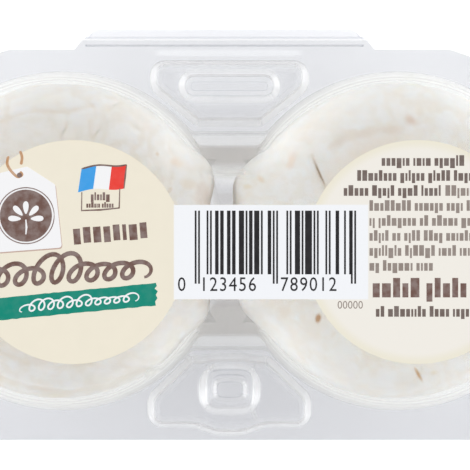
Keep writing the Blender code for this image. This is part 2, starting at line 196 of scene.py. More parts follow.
@dataclass(frozen=True)
class ClearFilm:
    """Clear formed film: it lets light straight through, shines and hazes more edge-on, and carries painted
    shade and painted highlight in its points' attributes.
    """

    name: str
    face: Colour = (0.985, 0.99, 0.996, 1.0)
    # The two deeper tints are painted shade, reached as the points' painted shade attribute goes to 1 and to
    # 2.
    painted_shade_tint: Colour = (0.877, 0.880, 0.892, 1.0)
    deep_shade_tint: Colour = (0.735, 0.718, 0.708, 1.0)
    white: Colour = (1.0, 1.0, 1.0, 1.0)
    soft_white: Colour = linear(228, 228, 223)
    shine: float = 0.04
    edge_shine: float = 0.3
    shine_power: float = 5.0
    gloss_roughness: float = 0.14
    soft_roughness: float = 0.9
    haze: float = 0.08
    soft_haze: float = 0.36
    haze_power: float = 1.5
    waviness: float = 0.08
    wave_size: float = 9.0 * MM
    wave_depth: float = 0.2 * MM

    def make(self) -> Material:
        """Builds the material.

        Returns:
            The material.
        """
        material, graph = new_material(self.name)
        place = graph.add("ShaderNodeTexCoord").outputs["Object"]
        waves = graph.noise(place, self.wave_size, 1.0)
        bump = graph.add("ShaderNodeBump", {
            "Height": waves, "Strength": self.waviness, "Distance": self.wave_depth})
        facing = graph.add("ShaderNodeLayerWeight", {"Blend": 0.5}).outputs["Facing"]
        # Painted shade: the points' attribute darkens what is seen through the film.
        painted_shade = graph.add("ShaderNodeAttribute", attribute_name="painted_shade").outputs["Fac"]
        through = graph.blend(painted_shade, self.face, self.painted_shade_tint)
        through = graph.blend(graph.ramp(painted_shade, 1.0, 2.0, smooth=False), through, self.deep_shade_tint)
        clear = graph.add("ShaderNodeBsdfTransparent", {"Color": through})
        soft = graph.add("ShaderNodeAttribute", attribute_name="soft").outputs["Fac"]
        roughness = graph.ramp(soft, 0.0, 1.0, self.gloss_roughness, self.soft_roughness)
        gloss = graph.add("ShaderNodeBsdfAnisotropic", {
            "Color": (1.0, 1.0, 1.0, 1.0), "Roughness": roughness, "Normal": bump.outputs[0]})
        rise = graph.math("POWER", facing, self.shine_power)
        rise = graph.math("MULTIPLY", rise, self.edge_shine - self.shine)
        share = graph.math("ADD", rise, self.shine, clamp=True)
        tint = graph.blend(soft, self.white, self.soft_white)
        face_glow = graph.add("ShaderNodeBsdfDiffuse", {"Color": tint})
        back_glow = graph.add("ShaderNodeBsdfTranslucent", {"Color": tint})
        glow = graph.add("ShaderNodeMixShader", {0: 0.5, 1: face_glow.outputs[0], 2: back_glow.outputs[0]})
        # Painted highlight: the points' attribute whitens the film, on top of the haze that grows edge-on.
        painted_highlight = graph.add("ShaderNodeAttribute", attribute_name="painted_highlight").outputs["Fac"]
        haze = graph.ramp(soft, 0.0, 1.0, self.haze, self.soft_haze)
        haze_and_painted_highlight = graph.math("MULTIPLY", graph.math("POWER", facing, self.haze_power), haze)
        haze_and_painted_highlight = graph.math("ADD", haze_and_painted_highlight, painted_highlight, clamp=True)
        body = graph.add("ShaderNodeMixShader", {0: haze_and_painted_highlight, 1: clear.outputs[0], 2: glow.outputs[0]})
        mix = graph.add("ShaderNodeMixShader", {0: share, 1: body.outputs[0], 2: gloss.outputs[0]})
        graph.add("ShaderNodeOutputMaterial", {"Surface": mix.outputs[0]})
        return material


@dataclass(frozen=True)
class Ink:
    """A flat printed colour."""

    name: str
    colour: Colour
    roughness: float = 0.45
    mottle: float = 0.06
    mottle_size: float = 1.2 * MM
    sheen: float = 0.25

    def make(self) -> Material:
        """Builds the material.

        Returns:
            The material.
        """
        material, graph = new_material(self.name)
        place = graph.add("ShaderNodeTexCoord").outputs["Object"]
        share = graph.ramp(graph.noise(place, self.mottle_size, 3.0), 0.3, 0.7)
        pale = (*(value + (1 - value) * self.mottle for value in self.colour[:3]), 1.0)
        inputs = {"Base Color": graph.blend(share, self.colour, pale), "Roughness": self.roughness,
                  "Specular IOR Level": self.sheen}
        shader = graph.add("ShaderNodeBsdfPrincipled", inputs)
        graph.add("ShaderNodeOutputMaterial", {"Surface": shader.outputs[0]})
        return material


@dataclass(frozen=True)
class CoatedPaper:
    """The label's paper, with the pale colours that are printed over all of it."""

    name: str = "label_paper"
    left: Colour = linear(242, 235, 217)
    right: Colour = linear(243, 239, 231)
    rim: Colour = linear(239, 234, 217)
    code_field: Colour = linear(246, 248, 252)
    field_x: Pair = mm(-8.6, 21.6)
    field_y: Pair = mm(-9.05, 5.65)
    right_centre: Pair = mm(29.25, -1.7)
    rim_start: float = 15.6 * MM
    rim_end: float = 17.2 * MM
    roughness: float = 0.42
    edge_blur: float = 0.12 * MM
    fibre_size: float = 2.6 * MM
    fibre_shade: float = 0.985

    def make(self) -> Material:
        """Builds the material.

        Returns:
            The material.
        """
        material, graph = new_material(self.name)
        place = graph.add("ShaderNodeTexCoord").outputs["Object"]
        parts = graph.add("ShaderNodeSeparateXYZ", {0: place}).outputs
        soft = self.edge_blur
        middle = sum(self.field_x) / 2
        on_right = graph.ramp(parts[0], middle - soft, middle + soft)
        beside = []
        for part, (low, high) in zip(parts, (self.field_x, tuple(y + ROW_Y for y in self.field_y))):
            away = graph.math("ABSOLUTE", graph.math("SUBTRACT", part, (low + high) / 2))
            beside.append(graph.math("SUBTRACT", away, (high - low) / 2))
        in_field = graph.ramp(graph.math("MAXIMUM", *beside), soft, -soft)
        shift = (-self.right_centre[0], -self.right_centre[1] - ROW_Y, 0.0)
        flat = graph.add("ShaderNodeMapping", {"Vector": place, "Location": shift, "Scale": (1.0, 1.0, 0.0)})
        reach = graph.add("ShaderNodeVectorMath", {0: flat.outputs[0]}, operation="LENGTH").outputs["Value"]
        rim = graph.ramp(reach, self.rim_start, self.rim_end)
        fibres = graph.ramp(graph.noise(place, self.fibre_size, 4.0), 0.25, 0.75)
        shaded = (*(value * self.fibre_shade for value in self.left[:3]), 1.0)
        left = graph.blend(fibres, self.left, shaded)
        right = graph.blend(rim, self.right, self.rim)
        colour = graph.blend(in_field, graph.blend(on_right, left, right), self.code_field)
        shader = graph.add("ShaderNodeBsdfPrincipled", {"Base Color": colour, "Roughness": self.roughness})
        graph.add("ShaderNodeOutputMaterial", {"Surface": shader.outputs[0]})
        return material


@dataclass(frozen=True)
class Stain:
    """A mark on a cheese: where it is seen from above, its half sizes, its turn and its colour."""

    x: float
    y: float
    half_x: float
    half_y: float
    turn: float
    colour: Colour
    strength: float = 1.0


@dataclass(frozen=True)
class BloomyRind:
    """A white bloomy rind with faint patches and mottling, painted shade in its dents and wrinkles and on its
    lower side, and stains.
    """

    name: str
    stains: tuple[Stain, ...] = ()
    bloom: Colour = linear(245, 244, 241)
    # This darker colour serves both the fine mottle and the painted shade in the hollows.
    mottle_and_crease_shade: Colour = linear(236, 227, 214)
    patch: Colour = linear(244, 239, 231)
    # Painted shade on the lower side, from side_start down to side_end.
    low_side_shade: Colour = linear(242, 235, 225)
    side_start: float = 24.0 * MM
    side_end: float = 8.0 * MM
    roughness: float = 0.8
    broad_size: float = 6.0 * MM
    fine_size: float = 1.9 * MM
    edge_size: float = 1.4 * MM
    grain_size: float = 0.7 * MM
    grain_depth: float = 0.1 * MM
    light_share: float = 0.6
    light_reach: Triple = (1.0, 0.85, 0.7)
    light_depth: float = 3.5 * MM

    def make(self) -> Material:
        """Builds the material.

        Returns:
            The material.
        """
        material, graph = new_material(self.name)
        place = graph.add("ShaderNodeTexCoord").outputs["Object"]
        broad = graph.ramp(graph.noise(place, self.broad_size, 5.0, 0.62), 0.4, 0.68)
        fine = graph.ramp(graph.noise(place, self.fine_size, 4.0, 0.65), 0.42, 0.7)
        mottle_and_crease_shade = graph.add("ShaderNodeAttribute", attribute_name="mottle_and_crease_shade").outputs["Fac"]
        colour = graph.blend(graph.math("MULTIPLY", broad, 0.7), self.bloom, self.patch)
        colour = graph.blend(graph.math("MULTIPLY", fine, 0.55), colour, self.mottle_and_crease_shade)
        # Painted shade in the dents, wrinkles and grooves.
        colour = graph.blend(graph.ramp(mottle_and_crease_shade, 0.3, 1.1, 0.0, 0.8), colour, self.mottle_and_crease_shade)
        height = graph.add("ShaderNodeSeparateXYZ", {0: place}).outputs[2]
        # Painted shade: darker and warmer towards the foot.
        colour = graph.blend(graph.ramp(height, self.side_start, self.side_end), colour, self.low_side_shade)
        edge_noise = graph.noise(place, self.edge_size, 3.0)
        for stain in self.stains:
            shift = graph.add("ShaderNodeVectorMath", {0: place, 1: (stain.x, stain.y + ROW_Y, 0.0)},
                              operation="SUBTRACT").outputs[0]
            turned = graph.add("ShaderNodeVectorRotate", {"Vector": shift, "Angle": -stain.turn},
                               rotation_type="Z_AXIS").outputs[0]
            scale = (1 / stain.half_x, 1 / stain.half_y, 0.0)
            sized = graph.add("ShaderNodeVectorMath", {0: turned, 1: scale}, operation="MULTIPLY").outputs[0]
            reach = graph.add("ShaderNodeVectorMath", {0: sized}, operation="LENGTH").outputs["Value"]
            reach = graph.math("ADD", reach, graph.math("MULTIPLY", edge_noise, 0.9))
            share = graph.ramp(reach, 1.6, 0.6, 0.0, stain.strength)
            colour = graph.blend(share, colour, stain.colour)
        grain = graph.noise(place, self.grain_size, 3.0)
        bump = graph.add("ShaderNodeBump", {
            "Height": grain, "Strength": 0.35, "Distance": self.grain_depth})
        shader = graph.add("ShaderNodeBsdfPrincipled", {
            "Base Color": colour, "Roughness": self.roughness, "Normal": bump.outputs[0],
            "Subsurface Weight": self.light_share, "Subsurface Radius": self.light_reach,
            "Subsurface Scale": self.light_depth})
        graph.add("ShaderNodeOutputMaterial", {"Surface": shader.outputs[0]})
        return material


def new_object(name: str, data: ID) -> Object:
    """Makes an object in the scene.

    Args:
        name: Its name.
        data: Its mesh, curve, light or camera.

    Returns:
        The object.
    """
    made = bpy.data.objects.new(name, data)
    bpy.context.scene.collection.objects.link(made)
    return made


def plain_mesh(shape: BMesh, name: str) -> Mesh:
    """Turns a drawn shape into a mesh whose faces point outwards.

    Args:
        shape: The shape, which is freed.
        name: The mesh's name.

    Returns:
        The mesh.
    """
    bmesh.ops.recalc_face_normals(shape, faces=shape.faces)
    mesh = bpy.data.meshes.new(name)
    shape.to_mesh(mesh)
    shape.free()
    return mesh


def join_loops(mesh: BMesh, first: Loop, second: Loop) -> None:
    """Joins two loops of as many points with faces."""
    for i in range(len(first)):
        mesh.faces.new((first[i - 1], first[i], second[i], second[i - 1]))


def place_piece(name: str, mesh: Mesh,
                material: Material | None = None) -> Object:
    """Makes a piece at the origin from a mesh that is drawn about the row of cups.

    Args:
        name: The piece's name.
        mesh: Its mesh.
        material: Its finish, if the mesh has none yet.

    Returns:
        The piece.
    """
    for corner in mesh.vertices:
        corner.co.y += ROW_Y
    if material:
        mesh.materials.clear()
        mesh.materials.append(material)
    piece = new_object(name, mesh)
    log.info("%s: %d faces", name, len(mesh.polygons))
    return piece


def settled_mesh(shape: Object, name: str) -> Mesh:
    """Turns an object and its modifiers into a plain mesh and removes the object.

    Args:
        shape: The object to settle.
        name: The name of the mesh.

    Returns:
        The plain mesh.
    """
    bpy.context.view_layer.update()
    evaluated = shape.evaluated_get(bpy.context.evaluated_depsgraph_get())
    mesh = bpy.data.meshes.new_from_object(evaluated)
    mesh.name = name
    bpy.data.objects.remove(shape)
    return mesh


def arc(centre: Pair, radius: float, start: float, end: float, steps: int) -> Outline:
    """Points along an arc between two angles in radians, both ends among them."""
    angles = [start + (end - start) * i / steps for i in range(steps + 1)]
    return [(centre[0] + radius * cos(a), centre[1] + radius * sin(a)) for a in angles]


def rounded(corners: Sequence[Pair], radii: Sequence[float], inset: float, steps: int = 9,
            least: float = 0.25 * MM) -> Outline:
    """A polygon with rounded corners whose sides are moved in.

    Args:
        corners: Its corners, anticlockwise.
        radii: The corners' radii before the move.
        inset: How far the sides are moved in.
        steps: How many steps each corner has.
        least: The least radius that is left.

    Returns:
        The outline's points.
    """
    points = [Vector(corner) for corner in corners]
    runs = [(points[(i + 1) % len(points)] - p).normalized() for i, p in enumerate(points)]
    outline: Outline = []
    for i, point in enumerate(points):
        before, after = runs[i - 1], runs[i]
        turn = atan2(before.cross(after), before.dot(after))
        out = Vector((before.y, -before.x))
        corner = point - out * inset - before * inset * tan(turn / 2)
        side = 1 if turn > 0 else -1
        radius = max(radii[i] - side * inset, least)
        start = corner - before * radius * tan(abs(turn) / 2)
        centre = start - out * radius * side
        first = atan2(start.y - centre.y, start.x - centre.x)
        outline += arc((centre.x, centre.y), radius, first, first + turn, steps)
    return outline


def squared_ring(centre: Pair, half_x: float, half_y: float, power: float, steps: int) -> Outline:
    """A ring that is an ellipse at power 2 and nears a rectangle as the power grows.

    Args:
        centre: The ring's centre.
        half_x: Half its width.
        half_y: Half its depth.
        power: How square it is.
        steps: How many points it has.

    Returns:
        The ring's points.
    """
    outline: Outline = []
    for i in range(steps):
        angle = 2 * pi * (i + 0.5) / steps
        reach = (abs(cos(angle)) ** power + abs(sin(angle)) ** power) ** (-1 / power)
        outline.append((centre[0] + half_x * reach * cos(angle), centre[1] + half_y * reach * sin(angle)))
    return outline


@dataclass(frozen=True)
class PairShape:
    """How finely the outline round two circles and their neck is drawn."""

    arc_steps: int = 60
    fillet_steps: int = 7
    straight_steps: int = 6

    def turn(self, radius: float, neck: float, fillet: float, spread: float) -> Pair:
        """Where the fillet is centred along X, and the circle's angle at which it starts."""
        fillet_x = spread - sqrt((radius + fillet) ** 2 - (neck + fillet) ** 2)
        return fillet_x, atan2(neck + fillet, fillet_x - spread)

    def outline(self, radius: float, neck: float, fillet: float, spread: float = CUP_X) -> Outline:
        """The whole outline.

        Args:
            radius: The circles' radius.
            neck: Half the neck's width.
            fillet: The radius between circle and neck.
            spread: How far each circle is from the middle.

        Returns:
            The points, anticlockwise from +X.
        """
        fillet_x, turn = self.turn(radius, neck, fillet, spread)
        angles = [turn * (i + 0.5) / self.arc_steps for i in range(self.arc_steps)]
        quarter = [(spread + radius * cos(a), radius * sin(a)) for a in angles]
        quarter += arc((fillet_x, neck + fillet), fillet, turn - pi, -pi / 2, self.fillet_steps)
        steps = self.straight_steps
        quarter += [(fillet_x * (1 - i / (steps + 0.5)), neck) for i in range(1, steps + 1)]
        across = [(-x, y) for x, y in reversed(quarter)]
        return [*quarter, *across, *((-x, -y) for x, y in quarter), *((-x, -y) for x, y in across)]


def step_profile(rise: float, run: float, foot_round: float, head_round: float, steps: int = 5) -> Outline:
    """A rounded step: how far in and how high each loop of a raised form is.

    Args:
        rise: The step's height.
        run: How far in its top edge is.
        foot_round: The radius where it leaves the land.
        head_round: The radius where it meets its top.
        steps: How many steps each round has.

    Returns:
        The inset and the height of each loop, from the land up.
    """
    lean = atan2(rise, run)
    foot = foot_round * tan(lean / 2)
    head = head_round * tan(lean / 2)
    loops = []
    for i in range(steps + 1):
        angle = lean * i / steps
        loops.append((-foot + foot_round * sin(angle), foot_round * (1 - cos(angle))))
    for i in range(steps + 1):
        angle = lean * (1 - i / steps)
        loops.append((run + head - head_round * sin(angle), rise - head_round * (1 - cos(angle))))
    return loops


@dataclass(frozen=True)
class StepDress:
    """The painted light on a raised form: painted shade on its top, painted lines at its rounds, painted
    highlight on its sides and how much of the land's painted shade its side keeps.
    """

    painted_shade: float = 0.0
    painted_foot_line: float = 0.0
    painted_head_line: float = 0.0
    front_painted_lines: Pair = (1.0, 1.0)
    painted_highlight: float = 0.0
    clear: float = 1.0
    top_share: float = 1.0
    line_reach: float = 0.35


@dataclass
class FormedSheet:
    """A sheet that is formed out of one level land, as an open surface that then gets its thickness."""

    name: str
    land: float
    finish: ClearFilm
    mesh: BMesh = field(default_factory=bmesh.new)
    guard: float = 0.35 * MM
    back_painted_shade: float = 0.44
    front_painted_shade: float = 0.67
    painted_light_scale: float = 1.0
    even_painted_highlight: float = 0.45
    crisp_angle: float = radians(42)

    def __post_init__(self) -> None:
        """Adds the attributes for the film's painted shade, its painted highlight and how far its shine is
        blurred.
        """
        self.painted_shade = self.mesh.verts.layers.float.new("painted_shade")
        self.painted_highlight = self.mesh.verts.layers.float.new("painted_highlight")
        self.soft = self.mesh.verts.layers.float.new("soft")

    def ring(self, outline: Outline, height: float, painted_shade: float = 0.0, share: float = 1.0,
             soft: float = 0.0) -> Loop:
        """Adds a closed loop of points at one height.

        Args:
            outline: The loop's points.
            height: Their height.
            painted_shade: How much painted shade the film has there beyond the land's.
            share: How much of the land's painted shade it keeps.
            soft: How far the film's shine is blurred there.

        Returns:
            The new points.
        """
        loop = [self.mesh.verts.new((x, y, height)) for x, y in outline]
        for point in loop:
            # Painted shade on the land, deeper from the back edge towards the front edge.
            forward = (BACK_EDGE - point.co.y) / (BACK_EDGE + FRONT_EDGE)
            land = self.back_painted_shade + (self.front_painted_shade - self.back_painted_shade) * min(max(forward, 0.0), 1.0)
            point[self.painted_shade] = land * share + painted_shade
            point[self.soft] = soft
        return loop

    def loft(self, loops: list[Loop]) -> None:
        """Joins each loop to the next."""
        for first, second in zip(loops, loops[1:]):
            join_loops(self.mesh, first, second)

    def cover(self, outer: Loop, *holes: Loop) -> None:
        """Covers the level space inside the outer loop and outside the holes.

        Args:
            outer: The loop round the space.
            holes: The loops that are left open.
        """
        points = [point for loop in (outer, *holes) for point in loop]
        edges = []
        start = 0
        for loop in (outer, *holes):
            edges += [(start + i, start + (i + 1) % len(loop)) for i in range(len(loop))]
            start += len(loop)
        found = delaunay_2d_cdt([point.co.xy for point in points], edges, [], 1, 1e-9)
        outlines = [[point.co.xy for point in loop] for loop in (outer, *holes)]
        for corners in found[2]:
            spot = sum((found[0][i] for i in corners), Vector((0.0, 0.0))) / len(corners)
            in_hole = any(self.encloses(hole, spot) for hole in outlines[1:])
            if self.encloses(outlines[0], spot) and not in_hole:
                self.mesh.faces.new([points[found[3][i][0]] for i in corners])

    @staticmethod
    def encloses(loop: list[Vector], spot: Vector) -> bool:
        """Whether a closed loop goes round a spot.

        Args:
            loop: The loop's points.
            spot: The spot.

        Returns:
            True if it does.
        """
        odd = False
        for first, second in zip(loop, [*loop[1:], loop[0]]):
            if (first.y > spot.y) != (second.y > spot.y):
                share = (spot.y - first.y) / (second.y - first.y)
                if spot.x < first.x + (second.x - first.x) * share:
                    odd = not odd
        return odd

    def raised(self, draw: Callable[[float], Outline], profile: Outline, base: float,
               dress: StepDress, foot_margin: float = 0.04 * MM, head_margin: float = 0.08 * MM,
               ) -> tuple[Loop, Loop]:
        """Adds a form whose outline moves in as it rises, with a level margin at its foot and its head.

        Args:
            draw: Gives the outline at an inset.
            profile: The inset and height of each loop, as many of them in its foot's round as in its head's.
            base: The height that it rises from.
            dress: The painted shade, painted lines and painted highlight on its side and its top.
            foot_margin: The width of the margin at its foot.
            head_margin: The width of the margin at its head.

        Returns:
            Its outermost and its innermost loop.
        """
        top = profile[-1][1]
        half = len(profile) // 2
        loops = [self.ring(draw(profile[0][0] - foot_margin), base)]
        for i, (inset, height) in enumerate(profile):
            wall = min(i, len(profile) - 1 - i) / (half - 1)
            # How much of the land's painted shade each loop keeps, less on the side.
            land = (1.0 if i < half else dress.top_share) * (1 - wall) + (1 - dress.clear) * wall
            loop = self.ring(draw(inset), base + height, dress.painted_shade * height / top, land)
            # Painted lines at the foot and head rounds, and painted highlight on the side.
            place = (i % half) / (half - 1)
            line = dress.painted_foot_line * place if i < half else dress.painted_head_line * sin(pi * place)
            self.mark(loop, line, dress.painted_highlight * min(2 * wall, 1.0), dress.front_painted_lines[i // half])
            loops.append(loop)
            if i == half - 1:
                move, climb = (here + (there - here) * dress.line_reach
                               for here, there in zip((inset, height), profile[half]))
                loop = self.ring(draw(move), base + climb, share=1 - dress.clear)
                self.mark(loop, 0.0, dress.painted_highlight)
                loops.append(loop)
        loops.append(self.ring(draw(profile[-1][0] + head_margin), base + top, dress.painted_shade, dress.top_share))
        self.loft(loops)
        return loops[0], loops[-1]

    def mark(self, loop: Loop, line: float, painted_highlight: float, front: float = 1.0) -> None:
        """Paints shade on a loop where its side faces back or front, and paints highlight where it faces left
        or right.

        Args:
            loop: The loop, anticlockwise.
            line: How much painted shade it gets.
            painted_highlight: How much painted highlight it gets.
            front: How strong the painted line is on the side that faces the front, against the other side.
        """
        for i, point in enumerate(loop):
            run = loop[(i + 1) % len(loop)].co - loop[i - 1].co
            along = abs(run.x) / max(run.length, 1e-9)
            strength = front if run.x > 0 else 1.0
            point[self.painted_shade] += line * strength * self.painted_light_scale * (1 - (1 - along) ** 2)
            point[self.painted_highlight] += painted_highlight * self.painted_light_scale * (1 - (1 - self.even_painted_highlight) * along ** 2)

    def thicken(self, thickness: float = SHEET) -> Object:
        """Turns the surface into a closed sheet below it and makes the piece.

        Args:
            thickness: The sheet's thickness.

        Returns:
            The piece.
        """
        bmesh.ops.recalc_face_normals(self.mesh, faces=self.mesh.faces)
        if sum(face.normal.z * face.calc_area() for face in self.mesh.faces) < 0:
            bmesh.ops.reverse_faces(self.mesh, faces=self.mesh.faces)
        mesh = bpy.data.meshes.new(self.name)
        self.mesh.to_mesh(mesh)
        self.mesh.free()
        shape = new_object(self.name, mesh)
        solid = shape.modifiers.new("thickness", "SOLIDIFY")
        solid.thickness = thickness
        solid.offset = -1.0
        solid.use_even_offset = True
        made = settled_mesh(shape, self.name)
        made.shade_smooth()
        made.set_sharp_from_angle(angle=self.crisp_angle)
        return place_piece(self.name, made, self.finish.make())


@dataclass(frozen=True)
class FlangeShape:
    """The outline of the land round the cups, with the tab at the hinge."""

    end_radius: float = 32.0 * MM
    front_corner: float = 12.0 * MM
    tab_centre: float = -0.8 * MM
    tab_half: float = 24.2 * MM
    tab_slant: float = 0.8
    corner_steps: int = 24
    end_steps: int = 48

    def half_at(self, reach: float) -> float:
        """Half the tab's length at a distance from the row of cups."""
        return self.tab_half - self.tab_slant * (reach - BACK_EDGE)

    def outline(self, tab_edge: float) -> Outline:
        """The whole outline.

        Args:
            tab_edge: How far from the row of cups the tab ends.

        Returns:
            The points, anticlockwise.
        """
        end_x = CUP_X + self.end_radius
        corner = (end_x - self.front_corner, self.front_corner - FRONT_EDGE)
        back_turn = atan2(BACK_EDGE, sqrt(self.end_radius ** 2 - BACK_EDGE ** 2))
        half = arc(corner, self.front_corner, -pi / 2, 0.0, self.corner_steps)
        half += arc((CUP_X, 0.0), self.end_radius, 0.0, back_turn, self.end_steps)
        tab = self.half_at(tab_edge)
        tab_right = [(self.tab_centre + self.tab_half, BACK_EDGE), (self.tab_centre + tab, tab_edge)]
        tab_left = [(self.tab_centre - tab, tab_edge), (self.tab_centre - self.tab_half, BACK_EDGE)]
        return [*half, *tab_right, *tab_left, *((-x, y) for x, y in reversed(half))]


@dataclass(frozen=True)
class BossShape:
    """A boss between the cups: its half widths and distances from the row of cups, and its rounds."""

    inner_x: float
    outer_x: float
    inner_y: float
    waist_y: float
    outer_y: float
    side: int
    swell: Triple | None = None
    bulge: Triple | None = None
    inner_round: float = 2.0 * MM
    waist_round: float = 3.0 * MM
    outer_round: float = 2.4 * MM
    bulge_round: float = 8.0 * MM
    least_round: float = 0.9 * MM

    def outline(self, inset: float) -> Outline:
        """The boss's outline, moved in.

        Args:
            inset: How far its sides are moved in.

        Returns:
            The points, anticlockwise.
        """
        half = [(self.inner_x, self.inner_y), (self.outer_x, self.waist_y), (self.outer_x, self.outer_y)]
        radii = [self.inner_round, self.waist_round, self.outer_round]
        if self.swell:
            end_x, start_x, swell_y = self.swell
            half = [(end_x, swell_y), (start_x, self.inner_y), *half]
            radii = [self.inner_round, self.inner_round, *radii]
        if self.bulge:
            end_x, start_x, bulge_y = self.bulge
            half += [(start_x, self.outer_y), (end_x, bulge_y)]
            radii += [self.bulge_round, self.bulge_round]
        corners = [*half, *((-x, y) for x, y in reversed(half))]
        radii = [*radii, *reversed(radii)]
        if self.side < 0:
            corners = [(x, -y) for x, y in reversed(corners)]
            radii = radii[::-1]
        return rounded(corners, radii, inset, least=self.least_round)


BACK_BOSS = BossShape(*mm(5.3, 12.7, 18.5, 24.4, 29.0), 1)
FRONT_BOSS = BossShape(*mm(6.3, 13.1, 18.5, 24.9, 30.0), -1, swell=mm(2.4, 4.6, 18.1),
                       bulge=mm(2.2, 5.6, 31.3))
BOSS_RISE = 3.0 * MM
BOSS_RUN = 0.8 * MM


@dataclass(frozen=True)
class BossDress:
    """What is formed on the two bosses: the bar by the hinge and the snap at the front."""

    boss_foot: float = 0.22 * MM
    boss_head: float = 0.55 * MM
    # The step dresses and the snap's numbers set painted shade lines, painted highlight and how much of the
    # land's painted shade the sides keep.
    back_step: StepDress = StepDress(painted_foot_line=2.3, painted_head_line=0.6, front_painted_lines=(0.15, 2.0), painted_highlight=0.46)
    front_step: StepDress = StepDress(painted_foot_line=0.6, painted_head_line=1.1, front_painted_lines=(0.3, 1.2), painted_highlight=0.46)
    bar_step: StepDress = StepDress(painted_foot_line=0.2, painted_head_line=1.9, front_painted_lines=(0.4, 0.4), painted_highlight=0.36,
                                    clear=0.7)
    bar_y: float = 24.72 * MM
    bar_half: Pair = mm(8.1, 2.68)
    bar_run: float = 0.95 * MM
    bar_rise: float = 0.9 * MM
    bar_round: float = 0.3 * MM
    snap_y: float = -23.8 * MM
    snap_half: Pair = mm(5.2, 4.35)
    snap_top_half: Pair = mm(3.5, 3.05)
    snap_top_shift: Pair = mm(0.1, 0.4)
    snap_rise: float = 1.2 * MM
    snap_power: Pair = (2.5, 4.6)
    snap_steps: int = 96
    snap_loops: int = 14
    snap_ease: float = 0.16
    pip_y: float = -23.65 * MM
    pip_half: Pair = mm(2.75, 2.0)
    pip_rise: float = 0.45 * MM
    pip_run: float = 0.6 * MM
    pip_power: float = 3.4
    pip_rounds: Pair = mm(0.12, 0.2)
    pip_steps: int = 3
    pip_painted_highlight: float = 0.25
    snap_shade_cut: float = 1.0
    snap_painted_highlight: float = 0.36
    snap_painted_lines: Pair = (0.6, 0.6)
    snap_front_painted_line: float = 2.4
    painted_line_spots: Pair = (0.08, 0.9)
    painted_line_width: float = 0.12

    def bar_outline(self, inset: float) -> Outline:
        """The bar's outline, moved in.

        Args:
            inset: How far it is moved in.

        Returns:
            The points, anticlockwise.
        """
        half_x, half_y = self.bar_half
        corners = [(-half_x, self.bar_y - half_y), (half_x, self.bar_y - half_y),
                   (half_x, self.bar_y + half_y), (-half_x, self.bar_y + half_y)]
        return rounded(corners, [half_y - 0.1 * MM] * 4, inset)

    def snap_ring(self, share: float, inset: float) -> Outline:
        """The snap's outline at a share of the way up its side, moved in.

        Args:
            share: 0 at its round foot and 1 at its squarish head.
            inset: How far it is moved in.

        Returns:
            The ring's points.
        """
        half_x = self.snap_half[0] + (self.snap_top_half[0] - self.snap_half[0]) * share - inset
        half_y = self.snap_half[1] + (self.snap_top_half[1] - self.snap_half[1]) * share - inset
        power = self.snap_power[0] + (self.snap_power[1] - self.snap_power[0]) * share
        centre = (self.snap_top_shift[0] * share, self.snap_y + self.snap_top_shift[1] * share)
        return squared_ring(centre, half_x, half_y, power, self.snap_steps)

    def pip_outline(self, inset: float) -> Outline:
        """The pip's outline on the snap's head, moved in."""
        centre = (self.snap_top_shift[0], self.pip_y)
        return squared_ring(centre, self.pip_half[0] - inset, self.pip_half[1] - inset, self.pip_power,
                            self.snap_steps)

    def boss(self, sheet: FormedSheet, shape: BossShape, inset: float,
             dress: StepDress) -> tuple[Loop, Loop]:
        """Forms one boss and returns its outermost and its innermost loop."""
        profile = step_profile(BOSS_RISE, BOSS_RUN, self.boss_foot, self.boss_head)
        return sheet.raised(lambda move: shape.outline(inset + move), profile, sheet.land, dress)

    def back(self, sheet: FormedSheet, inset: float, painted_shade: float) -> Loop:
        """Forms the boss by the hinge.

        Args:
            sheet: The sheet that it is formed in.
            inset: How far it is moved in, which is more on the tray.
            painted_shade: How much painted shade its top has.

        Returns:
            The loop where it leaves the land.
        """
        foot, top = self.boss(sheet, BACK_BOSS, inset, replace(self.back_step, painted_shade=painted_shade))
        profile = step_profile(self.bar_rise, self.bar_run, self.bar_round, self.bar_round)
        plateau = sheet.land + BOSS_RISE
        bar_foot, bar_top = sheet.raised(lambda move: self.bar_outline(inset + move), profile, plateau,
                                         self.bar_step)
        sheet.cover(top, bar_foot)
        sheet.cover(bar_top)
        return foot

    def front(self, sheet: FormedSheet, inset: float, painted_shade: float, with_pip: bool) -> Loop:
        """Forms the boss that holds the snap.

        Args:
            sheet: The sheet that it is formed in.
            inset: How far it is moved in.
            painted_shade: How much painted shade its top has.
            with_pip: Whether the snap's head has its pip.

        Returns:
            The loop where it leaves the land.
        """
        foot, top = self.boss(sheet, FRONT_BOSS, inset, replace(self.front_step, painted_shade=painted_shade))
        plateau = sheet.land + BOSS_RISE
        ease = self.snap_ease
        loops = [sheet.ring(self.snap_ring(0.0, inset), plateau, painted_shade)]
        for i in range(1, self.snap_loops + 1):
            share = i / self.snap_loops
            near = min(share, 1 - share)
            eased = near * near / (2 * ease * (1 - ease)) if near < ease else (near - ease / 2) / (1 - ease)
            climb = eased if share <= 0.5 else 1 - eased
